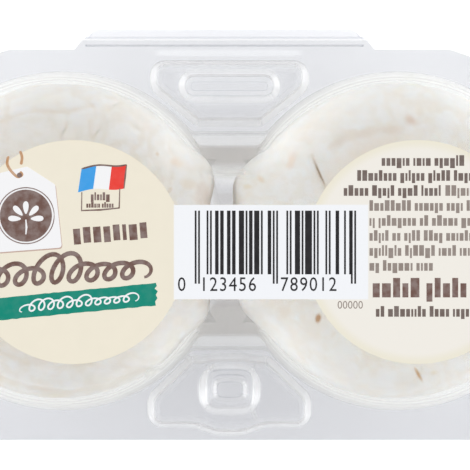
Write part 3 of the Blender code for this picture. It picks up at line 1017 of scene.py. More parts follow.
            # The snap's side keeps less of the land's painted shade, and takes painted shade lines and
            # painted highlight.
            loop = sheet.ring(self.snap_ring(share, inset), plateau + self.snap_rise * climb, painted_shade / 2,
                              share=1 - self.snap_shade_cut * min(near / ease, 1.0))
            lines = [line * max(1 - abs(share - spot) / self.painted_line_width, 0.0)
                     for line, spot in zip(self.snap_painted_lines, self.painted_line_spots)]
            sheet.mark(loop, lines[0], self.snap_painted_highlight * sin(pi * share))
            sheet.mark(loop, lines[1], 0.0, self.snap_front_painted_line)
            loops.append(loop)
        sheet.loft(loops)
        sheet.cover(top, loops[0])
        if not with_pip:
            sheet.cover(loops[-1])
            return foot
        profile = step_profile(self.pip_rise, self.pip_run, *self.pip_rounds, self.pip_steps)
        head = plateau + self.snap_rise
        rings = [sheet.ring(self.pip_outline(inset + move), head + height) for move, height in profile]
        # Painted highlight on the pip's side.
        for i, ring in enumerate(rings):
            sheet.mark(ring, 0.0, self.pip_painted_highlight * sin(pi * i / (len(rings) - 1)))
        sheet.loft(rings)
        sheet.cover(loops[-1], rings[0])
        sheet.cover(rings[-1])
        return foot


# Fainter painted shade and painted highlight for the tray's nested bosses.
FAINT_STEP = StepDress(clear=0.3, painted_highlight=0.08)
NESTED_DRESS = BossDress(back_step=FAINT_STEP, front_step=FAINT_STEP, bar_step=FAINT_STEP, snap_shade_cut=0.3,
                         snap_painted_highlight=0.08, snap_painted_lines=(0.1, 0.1))


@dataclass(frozen=True)
class Ridge:
    """A low straight ridge in the land: its middle, half sizes and height, and its painted light: a painted
    dark line, and a painted lighter band where it keeps less of the land's painted shade.
    """

    x: float
    y: float
    half_x: float
    half_y: float
    rise: float
    line: float = 0.0
    light: float = 0.0
    taper: float = 1.0
    power: float = 12.0
    loops: int = 7
    steps: int = 96

    def form(self, sheet: FormedSheet) -> Loop:
        """Forms the ridge.

        Args:
            sheet: The sheet that it is formed in.

        Returns:
            The loop where it leaves the land.
        """
        rings = []
        for i in range(self.loops + 1):
            share = i / self.loops
            climb = share * share * (3 - 2 * share)
            move = 0.9 * self.half_y * share
            outline = squared_ring((self.x, self.y), self.half_x - move * self.taper, self.half_y - move,
                                   self.power, self.steps)
            # Painted light: as the ridge rises it keeps less of the land's painted shade and takes a painted
            # dark line.
            ring = sheet.ring(outline, sheet.land + self.rise * climb, share=1 - self.light * climb)
            sheet.mark(ring, self.line * climb, 0.0)
            rings.append(ring)
        sheet.loft(rings)
        sheet.cover(rings[-1])
        return rings[0]


@dataclass
class Lid:
    """The lid: two domes with a neck between them, its land and its bosses."""

    dome_radius: float = 27.1 * MM
    dome_top_radius: float = 19.7 * MM
    dome_round: float = 6.5 * MM
    neck_base: float = 17.5 * MM
    neck_end: float = 10.2 * MM
    neck_round: float = 2.0 * MM
    dome_foot: float = 0.25 * MM
    neck_foot: float = 0.3 * MM
    foot_margin: float = 0.06 * MM
    fillet_base: float = 1.5 * MM
    fillet_end: float = 6.0 * MM
    # The domes keep the land's painted shade only low on their sides.
    shade_clear_from: float = 0.08
    foot_soft: float = 0.15
    # Painted highlight: a line at the domes' foot, a glint across the neck and sparkles at the snap and a
    # dome's foot.
    painted_foot_line: float = 0.42
    painted_glint_reach: Pair = mm(4.8, 1.3)
    painted_glint_y: float = 10.8 * MM
    painted_glint: float = 0.32
    painted_sparkles: tuple[Triple, ...] = (
        mm(-2.95, -20.0, 0.55), mm(3.9, -20.1, 0.6), mm(3.9, -27.4, 0.6),
        mm(-6.7, -18.7, 0.6), mm(-12.0, -20.7, 0.9))
    painted_sparkle: float = 0.6
    # The crease takes a painted dark line; the swell takes a painted lighter band.
    crease: Ridge = Ridge(*mm(-0.8, 31.48, 22.6, 0.24, 0.1), line=0.45)
    swell: Ridge = Ridge(*mm(-0.1, 30.3, 12.8, 0.88, 0.12), light=1.6, taper=4.0, power=5.0)
    foot_steps: int = 9
    side_steps: int = 5
    top_steps: int = 22
    finish: ClearFilm = ClearFilm("clear_lid_film")
    shape: PairShape = PairShape()

    @staticmethod
    def leaning(height: float, base: float, slope: float, foot_round: float) -> float:
        """How far out a leaning wall with a rounded foot is at a height.

        Args:
            height: The height above the land.
            base: How far out the wall would start without its rounded foot.
            slope: How far in it leans for each metre that it rises.
            foot_round: The radius of its foot.

        Returns:
            The distance from the middle.
        """
        lean = atan2(1.0, slope)
        foot = foot_round * tan(lean / 2)
        if height >= foot_round * (1 - cos(lean)):
            return base - slope * height
        drop = foot_round - height
        return base + foot - sqrt(max(foot_round ** 2 - drop ** 2, 0.0))

    def radius_at(self, height: float) -> float:
        """The domes' radius at a height above the land.

        Args:
            height: The height.

        Returns:
            The radius.
        """
        rise = LID_TOP - self.dome_round - LID_FLANGE
        if height > rise:
            level = min((height - rise) / self.dome_round, 1.0)
            return self.dome_top_radius + self.dome_round * sqrt(1 - level ** 2)
        slope = (self.dome_radius - self.dome_top_radius - self.dome_round) / rise
        return self.leaning(height, self.dome_radius, slope, self.dome_foot)

    def neck_at(self, height: float) -> float:
        """Half the neck's width at a height above the land.

        Args:
            height: The height.

        Returns:
            The half width.
        """
        slope = (self.neck_base - self.neck_end) / DOME_RISE
        lean = atan2(1.0, slope)
        reach = self.neck_round * tan(lean / 2)
        if height <= DOME_RISE - reach * sin(lean):
            return self.leaning(height, self.neck_base, slope, self.neck_foot)
        drop = height - (DOME_RISE - self.neck_round)
        return self.neck_end - reach + sqrt(max(self.neck_round ** 2 - drop ** 2, 0.0))

    def heights(self) -> list[float]:
        """The heights of the domes' loops above the land.

        Returns:
            The heights, from the land up.
        """
        rise = LID_TOP - self.dome_round - LID_FLANGE
        foot = [self.dome_foot * (1 - cos(pi / 2 * i / self.foot_steps)) for i in range(self.foot_steps)]
        straight = rise - self.dome_foot
        side = [self.dome_foot + straight * i / self.side_steps for i in range(self.side_steps)]
        top = [rise + self.dome_round * sin(pi / 2 * i / self.top_steps) for i in range(self.top_steps + 1)]
        return [*foot, *side, *top]

    def domes(self, sheet: FormedSheet) -> Loop:
        """Forms the domes and their neck.

        Args:
            sheet: The sheet that they are formed in.

        Returns:
            The loop where they leave the land.
        """
        heights = self.heights()
        margin = self.foot_margin
        edge = self.shape.outline(self.radius_at(0.0) + margin, self.neck_at(0.0) + margin, self.fillet_base)
        loops = [sheet.ring(edge, sheet.land)]
        for i, height in enumerate(heights):
            share = height / DOME_RISE
            # Painted highlight along the domes' foot.
            line = self.painted_foot_line * sin(pi * min((i + 0.5) / self.foot_steps, 1.0))
            fillet = self.fillet_base + (self.fillet_end - self.fillet_base) * share
            outline = self.shape.outline(self.radius_at(height), self.neck_at(height), fillet)
            left = max(1 - share / self.shade_clear_from, 0.0)
            loop = sheet.ring(outline, sheet.land + height, share=left, soft=1 - left * (1 - self.foot_soft))
            for point in loop:
                # A painted glint across the neck.
                across = max(1 - abs(point.co.x) / self.painted_glint_reach[0], 0.0)
                point[sheet.painted_highlight] = line + self.painted_glint * across * max(
                    1 - abs(point.co.y - self.painted_glint_y) / self.painted_glint_reach[1], 0.0)
            loops.append(loop)
        inner = self.shape.outline(self.dome_top_radius - sheet.guard, self.neck_at(DOME_RISE) - sheet.guard,
                                   self.fillet_end)
        loops.append(sheet.ring(inner, LID_TOP, share=0.0, soft=1.0))
        sheet.loft(loops)
        sheet.cover(loops[-1])
        return loops[0]

    def build(self) -> Object:
        """Builds the lid.

        Returns:
            The piece.
        """
        sheet = FormedSheet("clear_lid", LID_FLANGE, self.finish)
        edge = sheet.ring(FlangeShape().outline(HINGE_Y - BEAD_RADIUS - GAP), LID_FLANGE)
        dress = BossDress()
        holes = [self.domes(sheet), dress.back(sheet, 0.0, 0.2), dress.front(sheet, 0.0, 0.1, True),
                 self.crease.form(sheet), self.swell.form(sheet)]
        sheet.cover(edge, *holes)
        # Painted sparkles at the snap's corners and a dome's foot.
        for point in sheet.mesh.verts:
            near = max(1 - hypot(point.co.x - x, point.co.y - y) / reach for x, y, reach in self.painted_sparkles)
            point[sheet.painted_highlight] += self.painted_sparkle * max(near, 0.0)
        return sheet.thicken()


@dataclass
class Tray:
    """The tray: two cups with a trough between them, its land, its bosses and the hinge bead."""

    mouth_radius: float = 26.4 * MM
    foot_radius: float = 25.2 * MM
    foot_round: float = 3.5 * MM
    trough_mouth: float = 15.2 * MM
    trough_end: float = 10.2 * MM
    trough_depth: float = 8.0 * MM
    lip_round: float = 0.4 * MM
    mouth_fillet: float = 2.0 * MM
    trough_fillet: float = 3.0 * MM
    nest: float = 0.85 * MM
    # Painted shade: the trough between the cheeses, the trough's floor, the cups' walls near the neck, and
    # how much of the land's painted shade the cups keep.
    trough_painted_shade: float = 1.9
    floor_painted_shade: float = 1.3
    trough_shade_reach: Pair = mm(7.0, 11.0)
    floor_shade_reach: Pair = mm(2.6, 4.2)
    back_shade_fade: Pair = (0.5, 0.85)
    front_shade_share: float = 0.8
    cup_painted_shade: float = 0.4
    cup_shade_share: float = 0.36
    cup_shade_reach: Pair = mm(4.5, 6.0)
    dress: BossDress = NESTED_DRESS
    inner_steps: int = 24
    lip_steps: int = 5
    drop_steps: int = 8
    wall_steps: int = 4
    round_steps: int = 12
    floor_margin: float = 0.6 * MM
    bead_steps: int = 20
    bead_end: float = 1.3 * MM
    bead_tip: float = 0.02
    bead_radius: float = BEAD_RADIUS - 0.01 * MM
    finish: ClearFilm = ClearFilm("clear_tray_film", soft_haze=0.2, edge_shine=0.08)
    shape: PairShape = PairShape()

    def radius_at(self, height: float) -> float:
        """The inner radius of a cup's wall at a height.

        Args:
            height: The height above the cups' foot.

        Returns:
            The radius.
        """
        foot = SHEET + self.foot_round
        share = (height - foot) / (TRAY_FLANGE - foot)
        return self.foot_radius + (self.mouth_radius - self.foot_radius) * share

    def trough_loops(self, sheet: FormedSheet) -> list[Loop]:
        """Forms the wall from the land down to the floor of the trough.

        Args:
            sheet: The sheet that it is formed in.

        Returns:
            Its loops, from the land down.
        """
        guard = sheet.guard + self.lip_round
        margin = self.shape.outline(self.mouth_radius + guard, self.trough_mouth + guard, self.mouth_fillet)
        loops = [sheet.ring(margin, sheet.land)]
        drops = [self.lip_round * (1 - cos(pi / 2 * i / self.lip_steps)) for i in range(self.lip_steps + 1)]
        below = self.trough_depth - self.lip_round
        drops += [self.lip_round + below * i / self.drop_steps for i in range(1, self.drop_steps + 1)]
        for drop in drops:
            share = drop / self.trough_depth
            left = max(self.lip_round - drop, 0.0)
            lip = self.lip_round - sqrt(self.lip_round ** 2 - left ** 2)
            neck = self.trough_mouth + (self.trough_end - self.trough_mouth) * share
            fillet = self.mouth_fillet + (self.trough_fillet - self.mouth_fillet) * share
            outline = self.shape.outline(self.radius_at(sheet.land - drop) + lip, neck + lip, fillet)
            depth = min(drop / self.lip_round, 1.0)
            # The wall keeps less of the land's painted shade as it drops, and takes painted shade between the
            # cheeses.
            loop = sheet.ring(outline, sheet.land - drop, share=1 - depth * (1 - self.cup_shade_share), soft=1.0)
            for point in loop:
                point[sheet.painted_shade] += self.painted_shade_at(point.co.x, point.co.y, share) * depth
            loops.append(loop)
        sheet.loft(loops)
        return loops

    def painted_shade_at(self, x: float, y: float, share: float) -> float:
        """How much painted shade the trough's wall gets at a place, deepest between the cheeses.

        Args:
            x: The place along the row.
            y: Its distance towards the hinge.
            share: How far down the wall it is, up to 1 at the trough's floor.

        Returns:
            The painted shade there.
        """
        near, far = (mouth + (floor - mouth) * share
                     for mouth, floor in zip(self.trough_shade_reach, self.floor_shade_reach))
        across = min(max((far - abs(x)) / (far - near), 0.0), 1.0)
        start, end = self.back_shade_fade
        fade = min(max((end - share) / (end - start), 0.0), 1.0) if y > 0 else self.front_shade_share
        return self.trough_painted_shade * across * fade

    def cup_loop(self, side: int, radius: float, turn: float) -> Outline:
        """One whole loop of a cup, which starts with the points that the pair's outline has there.

        Args:
            side: 1 for the right cup.
            radius: The loop's radius.
            turn: The angle at which the neck's fillet starts.

        Returns:
            The loop's points.
        """
        count = 2 * self.shape.arc_steps
        inner = self.inner_steps
        angles = [turn * (2 * (i + 0.5) / count - 1) for i in range(count)]
        angles += [turn + 2 * (pi - turn) * (i + 0.5) / inner for i in range(inner)]
        return [(side * (CUP_X + radius * cos(a)), side * radius * sin(a)) for a in angles]

    def cups(self, sheet: FormedSheet) -> Loop:
        """Forms the two cups and the trough between them.

        Args:
            sheet: The sheet that they are formed in.

        Returns:
            The loop where they leave the land.
        """
        loops = self.trough_loops(sheet)
        trough = loops[-1]
        floor = sheet.land - self.trough_depth
        radius = self.radius_at(floor)
        turn = self.shape.turn(radius, self.trough_end, self.trough_fillet, CUP_X)[1]
        count = self.shape.arc_steps
        fillets = 2 * (self.shape.fillet_steps + 1 + self.shape.straight_steps)
        quarter = count + fillets // 2
        rounds = {1: trough[-count:] + trough[:count], -1: trough[2 * quarter - count:2 * quarter + count]}
        necks = [trough[count:count + fillets], trough[2 * quarter + count:2 * quarter + count + fillets]]
        inner: dict[int, Loop] = {}
        for side in (1, -1):
            outline = self.cup_loop(side, radius, turn)[2 * count:]
            # Painted shade on the trough's floor.
            inner[side] = sheet.ring(outline, floor, self.floor_painted_shade, 0.0)
            self.one_cup(sheet, side, rounds[side] + inner[side], turn)
        edge = [rounds[1][-1], *necks[0], rounds[-1][0], *reversed(inner[-1])]
        edge += [rounds[-1][-1], *necks[1], rounds[1][0], *reversed(inner[1])]
        sheet.cover(edge)
        return loops[0]

    def one_cup(self, sheet: FormedSheet, side: int, start: Loop, turn: float) -> None:
        """Forms a cup's wall and floor below the trough.

        Args:
            sheet: The sheet that it is formed in.
            side: 1 for the right cup.
            start: The loop at the trough's floor.
            turn: The angle at which the neck's fillet starts.
        """
        round_z = SHEET + self.foot_round
        base = self.foot_radius - self.foot_round
        loops = [start]
        for i in range(1, self.wall_steps):
            height = start[0].co.z + (round_z - start[0].co.z) * i / self.wall_steps
            outline = self.cup_loop(side, self.radius_at(height), turn)
            loops.append(sheet.ring(outline, height, share=self.cup_shade_share, soft=1.0))
        for i in range(self.round_steps + 1):
            angle = pi / 2 * i / self.round_steps
            outline = self.cup_loop(side, base + self.foot_round * cos(angle), turn)
            height = round_z - self.foot_round * sin(angle)
            loops.append(sheet.ring(outline, height, share=self.cup_shade_share * cos(angle), soft=1.0))
        outline = self.cup_loop(side, base - self.floor_margin, turn)
        loops.append(sheet.ring(outline, SHEET, share=0.0, soft=1.0))
        # Painted shade on the cups' walls and floor near the neck.
        near, far = self.cup_shade_reach
        for loop in loops[1:]:
            for point in loop:
                across = min(max((far - abs(point.co.x)) / (far - near), 0.0), 1.0)
                point[sheet.painted_shade] += self.cup_painted_shade * across
        sheet.loft(loops)
        sheet.cover(loops[-1])

    def bead(self) -> Object:
        """Builds the round bead along the tab's edge, where the two sheets fold together.

        Returns:
            The piece.
        """
        mesh = bmesh.new()
        shape = FlangeShape()
        sections = []
        ends = self.bead_end
        near_end = (0.95, 0.98, 0.995, 1.0)
        stations = [*(-place for place in reversed(near_end)), *(i / 20 for i in range(-18, 19)), *near_end]
        for station in stations:
            section = []
            for i in range(self.bead_steps):
                angle = 2 * pi * i / self.bead_steps
                y = HINGE_Y + self.bead_radius * cos(angle)
                z = HINGE_Z + self.bead_radius * sin(angle)
                half = shape.half_at(y)
                x = shape.tab_centre + station * half
                short = max(abs(station) * half - (half - ends), 0.0) / ends
                shrink = sqrt(max(1 - short ** 2, self.bead_tip))
                near = HINGE_Y - self.bead_radius
                spot = (x, near + (y - near) * shrink, HINGE_Z + (z - HINGE_Z) * shrink)
                section.append(mesh.verts.new(spot))
            sections.append(section)
        for first, second in zip(sections, sections[1:]):
            join_loops(mesh, first, second)
        mesh.faces.new(sections[0])
        mesh.faces.new(reversed(sections[-1]))
        made = plain_mesh(mesh, "hinge_bead")
        made.shade_smooth()
        film = ClearFilm("clear_bead_film", face=(0.92, 0.927, 0.945, 1.0))
        return place_piece("hinge_bead", made, film.make())

    def build(self) -> Object:
        """Builds the tray.

        Returns:
            The piece.
        """
        sheet = FormedSheet("clear_tray", TRAY_FLANGE, self.finish)
        edge = sheet.ring(FlangeShape().outline(HINGE_Y - BEAD_RADIUS / 2), TRAY_FLANGE)
        holes = [self.cups(sheet), self.dress.back(sheet, self.nest, 0.2),
                 self.dress.front(sheet, self.nest, 0.1, False)]
        sheet.cover(edge, *holes)
        return sheet.thicken()


class Side(Enum):
    """Which cup a cheese is in."""

    LEFT = -1
    RIGHT = 1


@dataclass(frozen=True)
class Groove:
    """A crack or a fold in the rind: its line seen from above, its half width and its depth."""

    points: tuple[Pair, ...]
    half_width: float
    depth: float

    def depth_at(self, x: float, y: float) -> float:
        """How deep the rind is cut at a spot.

        Args:
            x: The spot's place along the row.
            y: Its place across the row.

        Returns:
            The depth.
        """
        nearest = 1.0
        for first, second in zip(self.points, self.points[1:]):
            run = (second[0] - first[0], second[1] - first[1])
            along = ((x - first[0]) * run[0] + (y - first[1]) * run[1]) / (run[0] ** 2 + run[1] ** 2)
            along = min(max(along, 0.0), 1.0)
            away = hypot(x - first[0] - run[0] * along, y - first[1] - run[1] * along)
            nearest = min(nearest, away)
        share = max(1 - nearest / self.half_width, 0.0)
        return self.depth * share * share * (3 - 2 * share)


def new_tree(name: str, sizes: Sequence[str]) -> tuple[GeometryNodeTree, Graph]:
    """Makes a Geometry Nodes tree that takes a shape, its sizes and a finish.

    Args:
        name: The tree's name.
        sizes: The names of its number inputs.

    Returns:
        The tree and its graph.
    """
    tree = bpy.data.node_groups.new(name, "GeometryNodeTree")
    given = [("Geometry", "Geometry"), *((size, "Float") for size in sizes), ("Finish", "Material")]
    for label, kind in given:
        tree.interface.new_socket(label, in_out="INPUT", socket_type=f"NodeSocket{kind}")
    tree.interface.new_socket("Geometry", in_out="OUTPUT", socket_type="NodeSocketGeometry")
    return tree, Graph(tree)


def relief_tree() -> GeometryNodeTree:
    """The Geometry Nodes tree that gives a cheese its dents, wrinkles and grain, and stores where their
    painted crease shade falls.

    Returns:
        The tree. Its inputs are the depth and size of the dents, wrinkles and grain, a seed and the finish.
    """
    tree, graph = new_tree("rind_relief", ("Dent depth", "Dent size", "Wrinkle depth", "Wrinkle size",
                                           "Grain depth", "Grain size", "Seed"))
    given = graph.add("NodeGroupInput").outputs
    place = graph.add("GeometryNodeInputPosition").outputs[0]

    def pattern(size: NodeSocket, detail: float, turn: float) -> NodeSocket:
        """A noise from 0 to 1 at a size, moved by the seed.

        Args:
            size: The pattern's size.
            detail: How many finer patterns are laid over it.
            turn: What is added to the seed.

        Returns:
            The socket with its value.
        """
        scale = graph.math("DIVIDE", 1.0, size)
        seed = graph.math("ADD", given["Seed"], turn)
        node = graph.add("ShaderNodeTexNoise", {"Vector": place, "W": seed, "Scale": scale, "Detail": detail},
                         noise_dimensions="4D")
        return node.outputs[0]

    dent = graph.ramp(pattern(given["Dent size"], 1.0, 0.0), 0.3, 0.75)
    ridge = graph.math("ABSOLUTE", graph.math("SUBTRACT", pattern(given["Wrinkle size"], 2.0, 5.0), 0.5))
    wrinkle = graph.ramp(ridge, 0.09, 0.0)
    grain = graph.ramp(pattern(given["Grain size"], 2.0, 9.0), 0.35, 0.7)
    cut = graph.add("GeometryNodeInputNamedAttribute", {"Name": "cut"}, data_type="FLOAT").outputs[0]
    depth = graph.math("MULTIPLY", dent, given["Dent depth"])
    depth = graph.math("ADD", depth, graph.math("MULTIPLY", wrinkle, given["Wrinkle depth"]))
    depth = graph.math("ADD", depth, graph.math("MULTIPLY", grain, given["Grain depth"]))
    depth = graph.math("ADD", depth, cut)
    normal = graph.add("GeometryNodeInputNormal").outputs[0]
    back = graph.math("MULTIPLY", depth, -1.0)
    move = graph.add("ShaderNodeVectorMath", {0: normal, "Scale": back}, operation="SCALE").outputs[0]
    moved = graph.add("GeometryNodeSetPosition", {"Geometry": given["Geometry"], "Offset": move}).outputs[0]
    # Painted crease shade: darker where the rind is dented, wrinkled or cut.
    tone = graph.math("ADD", graph.math("MULTIPLY", wrinkle, 0.6), graph.math("MULTIPLY", dent, 0.3))
    tone = graph.math("ADD", tone, graph.math("MULTIPLY", cut, 1 / (0.35 * MM)), clamp=True)
    kept = graph.add("GeometryNodeStoreNamedAttribute", {"Geometry": moved, "Name": "mottle_and_crease_shade", "Value": tone},
                     data_type="FLOAT", domain="POINT").outputs[0]
    real = graph.add("GeometryNodeRealizeInstances", {0: kept}).outputs[0]
    dressed = graph.add("GeometryNodeSetMaterial", {"Geometry": real, "Material": given["Finish"]}).outputs[0]
    graph.add("NodeGroupOutput", {0: dressed})
    return tree


def set_input(modifier: NodesModifier, name: str, value: object) -> None:
    """Sets a Geometry Nodes modifier's input by its socket's identifier.

    Args:
        modifier: The modifier.
        name: The input's name in the tree.
        value: What it is set to.
    """
    for item in modifier.node_group.interface.items_tree:
        if item.item_type == "SOCKET" and item.in_out == "INPUT" and item.name == name:
            modifier[item.identifier] = value


@dataclass
class Cheese:
    """A cheese: a low round with soft shoulders, a dished top and a side that its neighbour shapes."""

    side: Side
    seed: float
    swells: tuple[Triple, ...]
    finish: BloomyRind
    grooves: tuple[Groove, ...] = ()
    belly: float = 25.6 * MM
    shoulder: float = 25.2 * MM
    foot_side: float = 24.7 * MM
    top_round: float = 6.4 * MM
    foot_round: float = 4.5 * MM
    dish: float = 0.5 * MM
    shift: float = 0.15 * MM
    swell_low: float = 14.5 * MM
    swell_full: float = 19.5 * MM
    dent_depth: float = 0.28 * MM
    dent_size: float = 9.0 * MM
    wrinkle_depth: float = 0.12 * MM
    wrinkle_size: float = 4.6 * MM
    grain_depth: float = 0.08 * MM
    grain_size: float = 1.8 * MM
    steps_round: int = 300
    top_steps: int = 34
    shoulder_steps: int = 21
    side_steps: int = 32
    foot_steps: int = 12

    def side_at(self, height: float) -> float:
        """The radius of the side at a height: widest half way between foot and shoulder.

        Args:
            height: The height above the cups' foot.

        Returns:
            The radius.
        """
        low = CHEESE_FOOT + self.foot_round
        high = CHEESE_FOOT + CHEESE_HEIGHT - self.top_round
        middle = (low + high) / 2
        end = self.shoulder if height > middle else self.foot_side
        return self.belly - (self.belly - end) * ((height - middle) / (high - middle)) ** 2

    def profile(self) -> list[Triple]:
        """Radius, height and the tilt of the surface down the side, from top to foot.

        Returns:
            The radius, height and tilt of each loop.
        """
        top = CHEESE_FOOT + CHEESE_HEIGHT
        low = CHEESE_FOOT + self.foot_round
        high = top - self.top_round
        face = self.shoulder - self.top_round
        base = self.foot_side - self.foot_round
        steps = self.top_steps
        points = [(face * i / steps, top - self.dish * (1 - (i / steps) ** 2), pi / 2)
                  for i in range(1, steps)]
        for i in range(self.shoulder_steps + 1):
            tilt = pi / 2 * (1 - i / self.shoulder_steps)
            points.append((face + self.top_round * cos(tilt), high + self.top_round * sin(tilt), tilt))
        for i in range(1, self.side_steps):
            height = high + (low - high) * i / self.side_steps
            points.append((self.side_at(height), height, 0.0))
        for i in range(self.foot_steps + 1):
            tilt = -pi / 2 * i / self.foot_steps
            points.append((base + self.foot_round * cos(tilt), low + self.foot_round * sin(tilt), tilt))
        return [*points, *((base * i / 5, CHEESE_FOOT, -pi / 2) for i in (4, 3, 2, 1))]

    def swell(self, bearing: float, height: float) -> float:
        """How far the side stands out at a bearing from the other cheese.

        Args:
            bearing: The angle from the direction of the other cheese, in radians.
            height: The height of the spot.

        Returns:
            How far out the side is moved.
        """
        out = 0.0
        climb = min(max((height - self.swell_low) / (self.swell_full - self.swell_low), 0.0), 1.0)
        for middle, spread, amount in self.swells:
            away = min(abs(bearing - radians(middle)) / radians(spread), 1.0)
            share = climb * climb * (3 - 2 * climb) if amount > 0 else 1.0
            out += amount * share * cos(pi / 2 * away) ** 2
        return out

    def body(self, name: str) -> Mesh:
        """The smooth form, with the depth of its grooves stored at each point.

        Args:
            name: The mesh's name.

        Returns:
            The mesh.
        """
        mesh = bmesh.new()
        cut = mesh.verts.layers.float.new("cut")
        side = self.side.value
        centre_x = side * CUP_X - self.shift
        loops = []
        for radius, height, tilt in self.profile():
            loop = []
            steady = min(1.0, (height - CHEESE_FOOT) / self.foot_round)
            for i in range(self.steps_round):
                angle = 2 * pi * i / self.steps_round
                bearing = atan2(sin(angle), -side * cos(angle))
                reach = radius + self.swell(bearing, height) * steady * cos(tilt)
                x, y = centre_x + reach * cos(angle), reach * sin(angle)
                point = mesh.verts.new((x, y, height))
                if tilt > 0:
                    point[cut] = max((groove.depth_at(x, y) for groove in self.grooves), default=0.0)
                loop.append(point)
            loops.append(loop)
        for upper, lower in zip(loops, loops[1:]):
            for i in range(self.steps_round):
                mesh.faces.new((upper[i - 1], lower[i - 1], lower[i], upper[i]))
        ends = ((loops[0], CHEESE_FOOT + CHEESE_HEIGHT - self.dish, 1), (loops[-1], CHEESE_FOOT, -1))
        for loop, height, turn in ends:
            middle = mesh.verts.new((centre_x, 0.0, height))
            for i, point in enumerate(loop):
                corners = (loop[i - 1], point, middle)
                mesh.faces.new(corners[::turn])
        return plain_mesh(mesh, name)

    def build(self, tree: GeometryNodeTree) -> Object:
        """Builds the cheese.

        Args:
            tree: The tree that gives the rind its relief.

        Returns:
            The piece.
        """
        name = f"crottin_{self.side.name.lower()}"
        shape = new_object(name, self.body(name))
        modifier = shape.modifiers.new("relief", "NODES")
        modifier.node_group = tree
        sizes = {"Dent depth": self.dent_depth, "Dent size": self.dent_size,
                 "Wrinkle depth": self.wrinkle_depth, "Wrinkle size": self.wrinkle_size,
                 "Grain depth": self.grain_depth, "Grain size": self.grain_size, "Seed": self.seed,
                 "Finish": self.finish.make()}
        for label, value in sizes.items():
            set_input(modifier, label, value)
        mesh = settled_mesh(shape, name)
        mesh.shade_smooth()
        return place_piece(name, mesh)


@dataclass(frozen=True)
class Block:
    """One printed block: its middle, its size and its turn."""

    x: float
    y: float
    width: float
    height: float
    turn: float = 0.0


def block_tree() -> GeometryNodeTree:
    """The Geometry Nodes tree that lays a thin slab of ink at each point of a mesh.

    Returns:
        The tree. Its inputs are the ink's thickness and its finish, and it reads each point's size and turn.
    """
    tree, graph = new_tree("printed_blocks", ("Thickness",))
    given = graph.add("NodeGroupInput").outputs
    slab = graph.add("GeometryNodeMeshCube", {"Size": (1.0, 1.0, 1.0)}).outputs[0]
    size = graph.add("GeometryNodeInputNamedAttribute", {"Name": "size"}, data_type="FLOAT_VECTOR").outputs[0]
    turn = graph.add("GeometryNodeInputNamedAttribute", {"Name": "turn"}, data_type="FLOAT").outputs[0]
    spin = graph.add("ShaderNodeCombineXYZ", {"Z": turn}).outputs[0]
    parts = graph.add("ShaderNodeSeparateXYZ", {0: size}).outputs
    scale = graph.add("ShaderNodeCombineXYZ", {
        "X": parts[0], "Y": parts[1], "Z": given["Thickness"]}).outputs[0]
    points = graph.add("GeometryNodeMeshToPoints", {"Mesh": given["Geometry"]}).outputs[0]
    laid = graph.add("GeometryNodeInstanceOnPoints", {
        "Points": points, "Instance": slab, "Rotation": spin, "Scale": scale}).outputs[0]
    real = graph.add("GeometryNodeRealizeInstances", {0: laid}).outputs[0]
    dressed = graph.add("GeometryNodeSetMaterial", {"Geometry": real, "Material": given["Finish"]}).outputs[0]
    graph.add("NodeGroupOutput", {0: dressed})
    return tree


